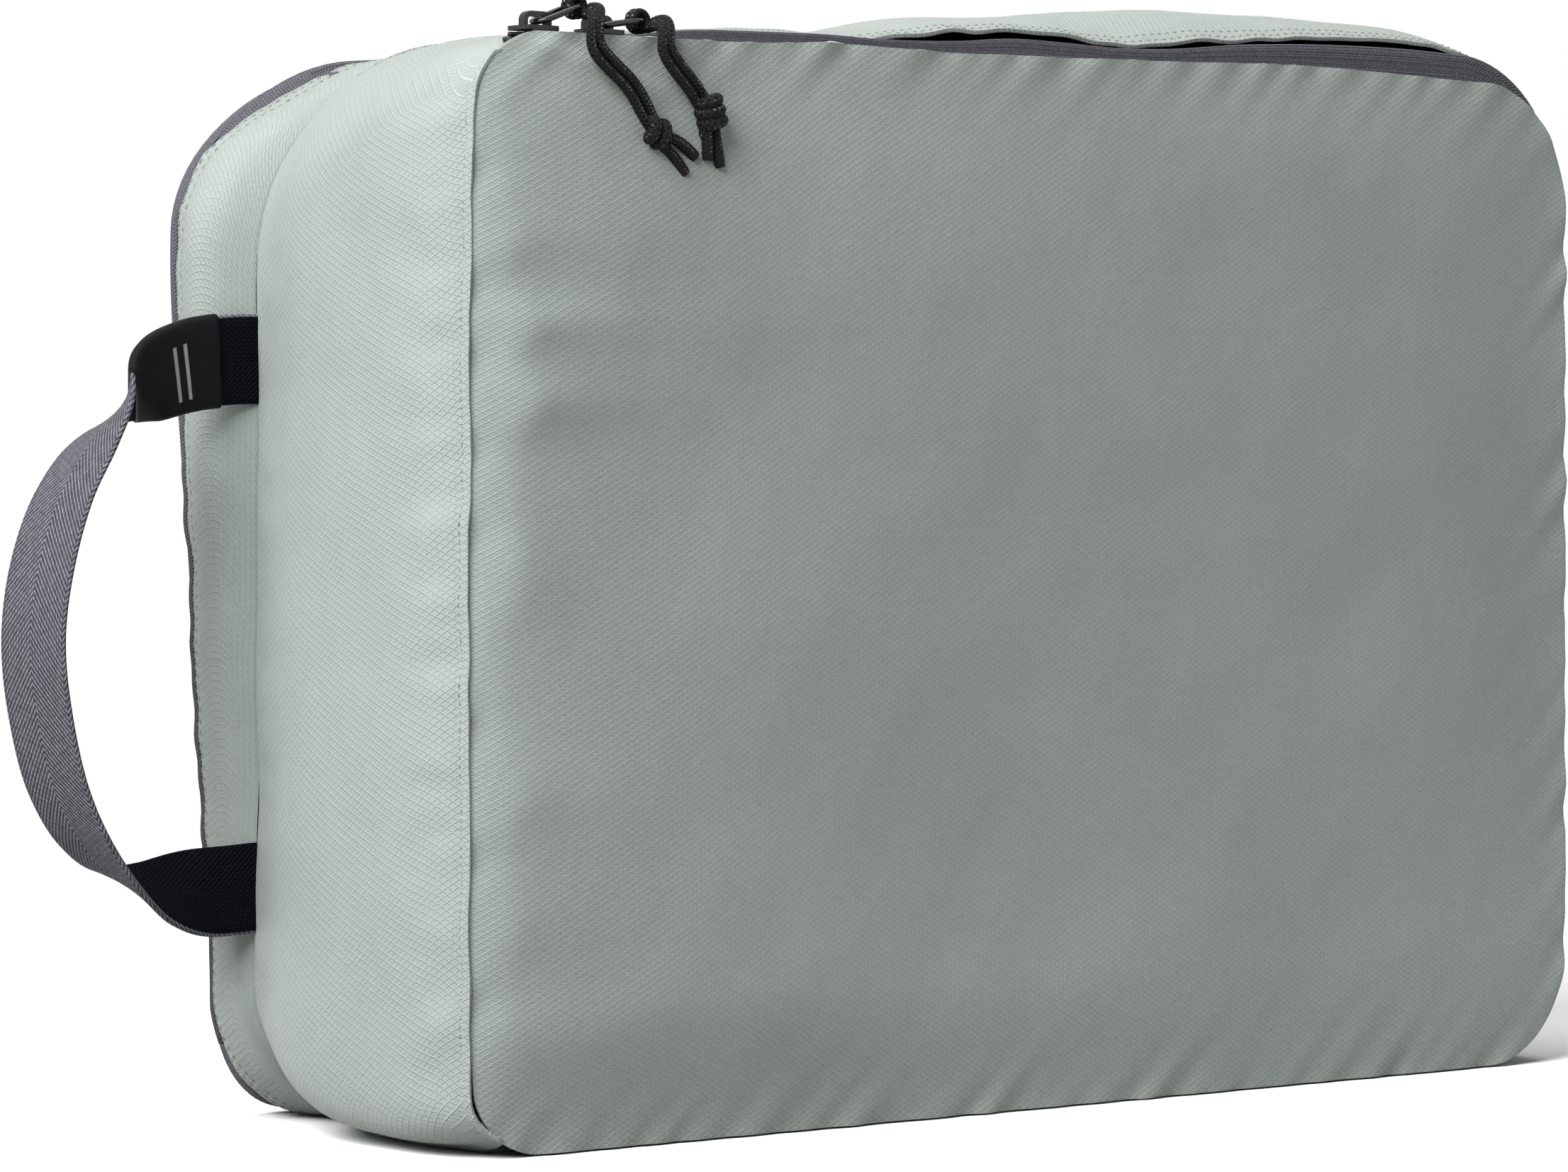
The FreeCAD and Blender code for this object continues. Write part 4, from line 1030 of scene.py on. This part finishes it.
def add_divider():
    """The sheet between the compartments: the middle seam's outline filled, with slack waves."""
    rows, columns = 60, 84
    floor, ceiling = 0.0, SEAM_TOP - 0.4
    z = between(0.6, 257.3, cosine_spaced(rows))[:, None]
    left, right = [SIDE - 0.8 - corner_inset(z, floor, ceiling, SEAM_CORNER, high)
                   for high in (SEAM_CORNER_BY_HANDLE, SEAM_CORNER)]
    x = between(-left - 3.2, right, np.linspace(0.0, 1.0, columns)[None, :])
    z = np.broadcast_to(z, x.shape)
    inside = plateau((x + SIDE) / (2 * SIDE), 6) * plateau(z / 257.0, 6)
    y = 23.9 + inside * 1.4 * wrinkles(x, z, 41, 70.0, 160.0, 6)
    piece = surface("divider_sheet", np.stack([x, y, z], axis=-1), np.stack([x, z], axis=-1), LINING, "bag")
    thicken(piece, DIVIDER_WALL, rounding_width=None)
    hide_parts("divider")


def add_middle_binding():
    """Folded tape round the inside of the middle seam: a U section carried round the whole loop."""
    places = loop_places()
    profile = [(1.6, 23.2), (1.5, 19.0), (1.6, 15.4), (2.0, 15.1), (2.5, 15.4), (2.6, 19.0), (2.5, 23.2),
               (2.0, 23.4)]
    rows = []
    for inwards, y in profile:
        low = SEAM_CORNER - inwards
        x, z, _, _ = outline_point(places, -SIDE + inwards, SIDE - inwards, inwards, SEAM_TOP - inwards,
                                   (low, low, low, SEAM_CORNER_BY_HANDLE - inwards))
        rows.append(np.stack([x, np.full(x.shape, y), z], axis=-1))
    along = arc_lengths(np.vstack([rows[0], rows[0][:1]]))
    strip("middle_binding_tape", rows, along, np.arange(len(profile) + 1) * 2.2, BINDING, "bag",
          "binding_tape", "middle_binding", wraps=True)


def add_hinge_binding(half, low, high):
    """Folded tape down the inside of a hinge seam: a flat rounded section carried upwards, which sways
    a little."""
    z = np.linspace(low, high, 60)
    section = [(0.0, 0.15), (0.0, 7.6), (0.25, 8.0), (0.75, 8.0), (1.0, 7.6), (1.0, 0.15), (0.75, 0.0),
               (0.25, 0.0)]
    sway = 0.036 * np.sin(z / 9.0)
    rows = [placed(half, np.stack([-SIDE + 1.6 + inwards + sway, np.full(z.shape, -56.4 + back), z], axis=-1))
            for inwards, back in section]
    strip(half["word"] + "_hinge_tape", rows, z, np.arange(len(section) + 1) * 1.9, BINDING, "bag",
          "binding_tape", half["word"] + "_hinge_binding")


add_divider()
add_middle_binding()
add_hinge_binding(FRONT, 9.6, 244.4)
add_hinge_binding(REAR, 15.6, 238.4)


# ---------------------------------------------------------------- handle

HANDLE_SEAM = -180.1
HANDLE_DEPTH = 24.0
# The strap's centre line from its upper end to its lower one: distance out from the seam, height, and
# the turn of its width in degrees.
HANDLE_LINE = np.array([
    (0.0, 181.0, 0), (12.0, 180.6, 3), (24.0, 178.8, 10), (34.0, 175.0, 24), (41.0, 168.8, 64),
    (48.5, 161.0, 86), (56.6, 149.5, 95), (62.5, 134.0, 99), (65.1, 117.0, 99), (62.9, 97.5, 99),
    (57.5, 80.0, 97), (51.0, 69.5, 92), (42.5, 61.5, 80), (32.0, 57.5, 52), (18.0, 56.8, 16), (0.0, 57.5, 0)])


def handle_track(places):
    """The strap's centre line and the turn of its width, smooth through the measured places."""
    keys = arc_lengths(HANDLE_LINE[:, :2])
    out, height, turn = [through(places * keys[-1], keys, column) for column in HANDLE_LINE.T]
    centre = np.stack([HANDLE_SEAM - out, np.full(places.shape, HANDLE_DEPTH), height], axis=-1)
    return centre, np.radians(turn)


def strap_frames(places):
    centre, turn = handle_track(places)
    ahead, _ = handle_track(np.minimum(places + 1e-3, 1.0))
    behind, _ = handle_track(np.maximum(places - 1e-3, 0.0))
    along = unit(ahead - behind)
    across_y = np.array([0.0, 1.0, 0.0])
    upright = np.cross(along, across_y)
    wide = upright * np.cos(turn)[:, None] + across_y * np.sin(turn)[:, None]
    return centre, wide, np.cross(along, wide)


def strap_section(half_wide, half_thick, round_by):
    """A flat strap's section: two faces of nine points, the outer one a little crowned, and two points
    at each edge."""
    run = np.linspace(-1.0, 1.0, 9) * (half_wide - round_by)
    face = [(a, half_thick + 0.12 * math.cos(a / half_wide * math.pi / 2)) for a in run]
    edge = [(half_wide, half_thick * 0.45), (half_wide, -half_thick * 0.45)]
    back = [(a, -half_thick) for a in run[::-1]]
    other = [(-half_wide, -half_thick * 0.45), (-half_wide, half_thick * 0.45)]
    return np.array(face + edge + back + other)


def add_strap(name, first, last, count, section, material, slot_name, node_name):
    """A stretch of strap from one share of the handle's line to another."""
    centre, wide, thick = strap_frames(np.linspace(first, last, count))
    rows = [centre + wide * a + thick * b for a, b in section]
    around = arc_lengths(np.vstack([section, section[:1]]))
    strip(name, rows, arc_lengths(centre), around, material, "handle", slot_name, node_name)


LABEL_START = 14.5
LABEL_END = 40.0
STRAP_SECTION = strap_section(half_wide=10.5, half_thick=0.75, round_by=0.6)
LABEL_SECTION = strap_section(half_wide=11.0, half_thick=1.45, round_by=0.9)
STRAP_LENGTH = arc_lengths(handle_track(np.linspace(0, 1, 400))[0])[-1]
add_strap("handle_strap", 0.0, 1.0, 150, STRAP_SECTION, WEBBING, "webbing", "handle_webbing")
add_strap("label_sleeve", LABEL_START / STRAP_LENGTH, LABEL_END / STRAP_LENGTH, 30, LABEL_SECTION, LABEL,
          "label_cloth", "size_label")


# ---------------------------------------------------------------- pull cords

# Control points of each pull's doubled cord from its ring to its knot, and of each tail below it.
# KNOT_TURNS holds a knot's direction, number of turns and length; a cord's length is in metres.
STRANDS = {
    1: [(-146.4, -53.6, 259.6), (-146.6, -57.6, 259.8), (-149.8, -61.4, 257.0), (-151.4, -62.6, 251.0),
        (-146.6, -62.4, 247.0), (-139.6, -62.0, 242.4), (-134.5, -62.0, 234.6)],
    2: [(-127.8, -53.6, 257.2), (-127.6, -57.4, 258.2), (-129.0, -61.4, 255.8), (-130.6, -62.6, 251.2),
        (-127.0, -62.4, 247.2), (-122.0, -62.1, 243.0), (-118.6, -62.0, 238.6)],
}
KNOTS = {1: (-133.1, -62.7, 231.9), 2: (-117.1, -62.7, 236.7)}
KNOT_TURNS = {1: ((0.96, 0.0, -0.28), 2, 6.2), 2: ((0.28, 0.0, -0.96), 3, 7.4)}
TAILS = {
    1: [[(-131.9, -62.4, 229.6), (-127.6, -62.1, 226.8), (-124.2, -61.8, 222.9)],
        [(-129.9, -62.6, 231.4), (-125.2, -62.2, 229.8), (-121.2, -61.8, 226.9)]],
    2: [[(-118.4, -62.4, 234.2), (-117.4, -62.1, 230.2), (-117.6, -61.8, 226.2)],
        [(-115.6, -62.4, 234.2), (-115.0, -62.1, 229.8), (-113.8, -61.8, 224.8)]],
}
HITCHES = {1: (-148.63, -52.0, 260.738), 2: (-130.018, -52.0, 258.284)}
CORD = 2.4
HALF_PITCH = 1.3
KNOT_CORD_RADIUS = 1.55
HITCH_CORD_RADIUS = 0.95
TUBE_SIDES = 14


def spline_points(points, name, steps=12):
    """Points along a NURBS spline of order 3 with the given control points, as Blender makes it."""
    curve = bpy.data.curves.new(name, "CURVE")
    curve.dimensions = "3D"
    curve.resolution_u = steps
    spline = curve.splines.new("NURBS")
    spline.points.add(len(points) - 1)
    for point, at in zip(spline.points, points):
        point.co = (at[0] * MM, at[1] * MM, at[2] * MM, 1.0)
    spline.order_u = 3
    spline.use_endpoint_u = True
    carrier = bpy.data.objects.new(name, curve)
    mesh = bpy.data.meshes.new_from_object(carrier)
    line = np.zeros(len(mesh.vertices) * 3)
    mesh.vertices.foreach_get("co", line)
    bpy.data.objects.remove(carrier)
    bpy.data.curves.remove(curve)
    bpy.data.meshes.remove(mesh)
    return line.reshape(-1, 3) / MM


def carried_frames(line):
    """Sideways directions that don't spin along a line: each step turns the last one by the bend."""
    along = unit(np.gradient(line, axis=0))
    side = np.zeros_like(along)
    first = np.cross(along[0], (0.0, 0.0, 1.0))
    side[0] = first / np.linalg.norm(first)
    for i in range(1, len(line)):
        moved = side[i - 1] - along[i] * np.dot(side[i - 1], along[i])
        side[i] = moved / np.linalg.norm(moved)
    return side, np.cross(along, side)


def tube(name, line, radius, body, *nodes):
    """A braided cord's surface: a circle carried along the line, swelling a little at each strand and
    towards the line's last millimetres."""
    run = arc_lengths(line)
    side, up = carried_frames(line)
    angles = np.linspace(0.0, FULL_TURN, TUBE_SIDES, endpoint=False)
    swell = 1.0 + 0.045 * np.sin(run * FULL_TURN / BRAID_PITCH)[None, :] * np.cos(4 * angles)[:, None]
    ends = np.minimum(run, run[-1] - run)
    flare = eased(run[-1] - 9.0, run[-1] - 3.0, run)
    swell = swell * (0.9 + 0.1 * eased(0.0, 0.25, ends) + 0.2 * flare)[None, :]
    ring = line[None] + radius * swell[..., None] * (
        np.cos(angles)[:, None, None] * side[None] + np.sin(angles)[:, None, None] * up[None])
    around = np.linspace(0, FULL_TURN * radius, TUBE_SIDES + 1)
    return strip(name, list(ring), run, around, BRAID, body, "pull_cord", *nodes)


def resampled(line, step):
    lengths = arc_lengths(line)
    wanted = np.linspace(0.0, lengths[-1], max(8, int(lengths[-1] / step)))
    return np.stack([np.interp(wanted, lengths, line[:, i]) for i in range(3)], axis=1)


KNOT_RADIUS = 2.15
HITCH_RADIUS = 1.95


def knot_line(centre, along, turns, length):
    """A barrel knot: turns wound side by side round the pull, angle 2 pi turns t and place
    (t - 1/2) length along it, a little slimmer at both ends."""
    t = np.linspace(0.0, 1.0, 60 * turns)
    along = unit(np.array(along, float))
    front = np.array([0.0, -1.0, 0.0])
    side = np.cross(along, front)
    angle = FULL_TURN * turns * t
    away = KNOT_RADIUS * (1.0 - 0.16 * (2 * t - 1) ** 4)
    lean = 0.55 * np.cos(angle)
    return (np.array(centre) + along * ((t - 0.5) * length + lean)[:, None]
            + front * (away * np.sin(angle))[:, None] + side * (1.05 * away * np.cos(angle))[:, None])


def hitch_line(centre, shift):
    """One turn of the cord round the ring's end."""
    t = np.linspace(0.0, FULL_TURN, 60)
    return np.array(centre) + np.stack([HITCH_RADIUS * np.cos(t), shift + 0.2 * np.sin(t),
                                        HITCH_RADIUS * np.sin(t)], axis=1)


def add_pull(number):
    """A zip pull: its knot, two hitches on the ring, and two cords from the ring to their cut ends."""
    body = "front_pull_%d" % number
    word = "front_cord_%d" % number
    knot = tube("pull_%d_knot" % number, knot_line(KNOTS[number], *KNOT_TURNS[number]), KNOT_CORD_RADIUS,
                body, word + "_knot")
    for index, shift in enumerate((-0.85, 0.85)):
        tube("pull_%d_hitch_%d" % (number, index + 1), hitch_line(HITCHES[number], shift),
             HITCH_CORD_RADIUS, body, word + "_hitch")
    for index, side_of_pull in enumerate((-1, 1)):
        move = np.array([0.8, 0.0, 0.6]) * HALF_PITCH * side_of_pull
        strand = [tuple(np.array(point) + move) for point in STRANDS[number]]
        controls = strand + [KNOTS[number]] + TAILS[number][index]
        line = resampled(spline_points(controls, "route"), 0.35)
        piece = tube("pull_%d_cord_%d" % (number, index + 1), line, CORD / 2, body, word + "_strands",
                     word + "_tails")


for pull_number in (1, 2):
    add_pull(pull_number)

for half in (FRONT, REAR):
    add_seams(half)


# ---------------------------------------------------------------- metal parts kept from the CAD

for name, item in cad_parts.items():
    finish = SLIDER_METAL if "slider" in name else RING_WIRE if "ring" in name else None
    if finish and name.split("_")[1] in ("slider", "ring"):
        for number in range(len(item.material_slots)):
            item.material_slots[number].material = finish


# ---------------------------------------------------------------- floor, light and camera

def add_floor():
    """A pale floor. What the camera or a reflection sees of it is bright enough to look white where no
    shadow falls, and turns plain white further from the object."""
    reach = 4.0
    mesh = bpy.data.meshes.new("floor")
    mesh.from_pydata([(-reach, -reach, 0.0), (reach, -reach, 0.0), (reach, reach, 0.0),
                      (-reach, reach, 0.0)], [], [(0, 1, 2, 3)])
    floor = bpy.data.objects.new("floor", mesh)
    bpy.context.scene.collection.objects.link(floor)
    material = bpy.data.materials.new("pale floor")
    material.use_nodes = True
    tree = material.node_tree
    tree.nodes.clear()
    seen = seen_directly(tree)
    matte = node(tree, "ShaderNodeBsdfDiffuse")
    shade = blend_colour(tree, seen, (0.32, 0.32, 0.32, 1.0), (1.8, 1.8, 1.8, 1.0))
    tree.links.new(shade, matte.inputs[0])
    white = node(tree, "ShaderNodeEmission")
    _, place = coordinates(tree)
    away = node(tree, "ShaderNodeVectorMath", operation="LENGTH")
    tree.links.new(place, away.inputs[0])
    share = calc(tree, "MULTIPLY", seen, scaled_range(tree, away.outputs["Value"], 0.32, 0.62))
    mix = node(tree, "ShaderNodeMixShader")
    tree.links.new(share, mix.inputs[0])
    tree.links.new(matte.outputs[0], mix.inputs[1])
    tree.links.new(white.outputs[0], mix.inputs[2])
    out = node(tree, "ShaderNodeOutputMaterial")
    tree.links.new(mix.outputs[0], out.inputs[0])
    mesh.materials.append(material)


def seen_directly(tree):
    """1 for what the camera sees, directly, in a reflection or through something clear."""
    paths = node(tree, "ShaderNodeLightPath")
    return calc(tree, "MAXIMUM", paths.outputs["Is Camera Ray"],
                calc(tree, "MAXIMUM", paths.outputs["Is Glossy Ray"], paths.outputs["Is Transmission Ray"]))


def add_world():
    """Even grey light, and white where the camera or a reflection sees past the object."""
    world = bpy.data.worlds.new("studio")
    bpy.context.scene.world = world
    world.use_nodes = True
    tree = world.node_tree
    tree.nodes.clear()
    seen = seen_directly(tree)
    background = node(tree, "ShaderNodeBackground")
    background.inputs["Color"].default_value = (1.0, 1.0, 1.0, 1.0)
    tree.links.new(scaled_range(tree, seen, 0.0, 1.0, 0.07, 1.0), background.inputs["Strength"])
    out = node(tree, "ShaderNodeOutputWorld")
    tree.links.new(background.outputs[0], out.inputs[0])


def add_lamp(name, place, target, size, power):
    lamp = bpy.data.lights.new(name, "AREA")
    lamp.shape = "DISK"
    lamp.size = size
    lamp.energy = power
    carrier = bpy.data.objects.new(name, lamp)
    carrier.location = place
    carrier.rotation_euler = (Vector(target) - Vector(place)).to_track_quat("-Z", "Y").to_euler()
    bpy.context.scene.collection.objects.link(carrier)


def add_camera():
    """The camera, with the lens, place and aim that were fitted to the photograph."""
    camera = bpy.data.cameras.new("camera")
    camera.sensor_width = 36.0
    camera.lens = 136.8
    camera.shift_y = -0.0685
    camera.clip_end = 20.0
    carrier = bpy.data.objects.new("camera", camera)
    carrier.location = (-0.993, -1.118, 0.153)
    carrier.rotation_euler = Vector((0.648, 0.7615, 0.0)).to_track_quat("-Z", "Y").to_euler()
    bpy.context.scene.collection.objects.link(carrier)
    bpy.context.scene.camera = carrier


add_floor()
add_world()
add_lamp("window side", (-1.63, -0.52, 1.33), target=(0.0, 0.0, 0.12), size=1.5, power=55.0)
add_lamp("above", (0.1, 0.25, 2.1), target=(0.0, 0.0, 0.1), size=1.2, power=15.0)
add_lamp("front right", (1.3, -2.0, 0.9), target=(0.0, 0.0, 0.12), size=1.4, power=3.0)
add_camera()
bpy.context.scene.view_settings.view_transform = "Standard"
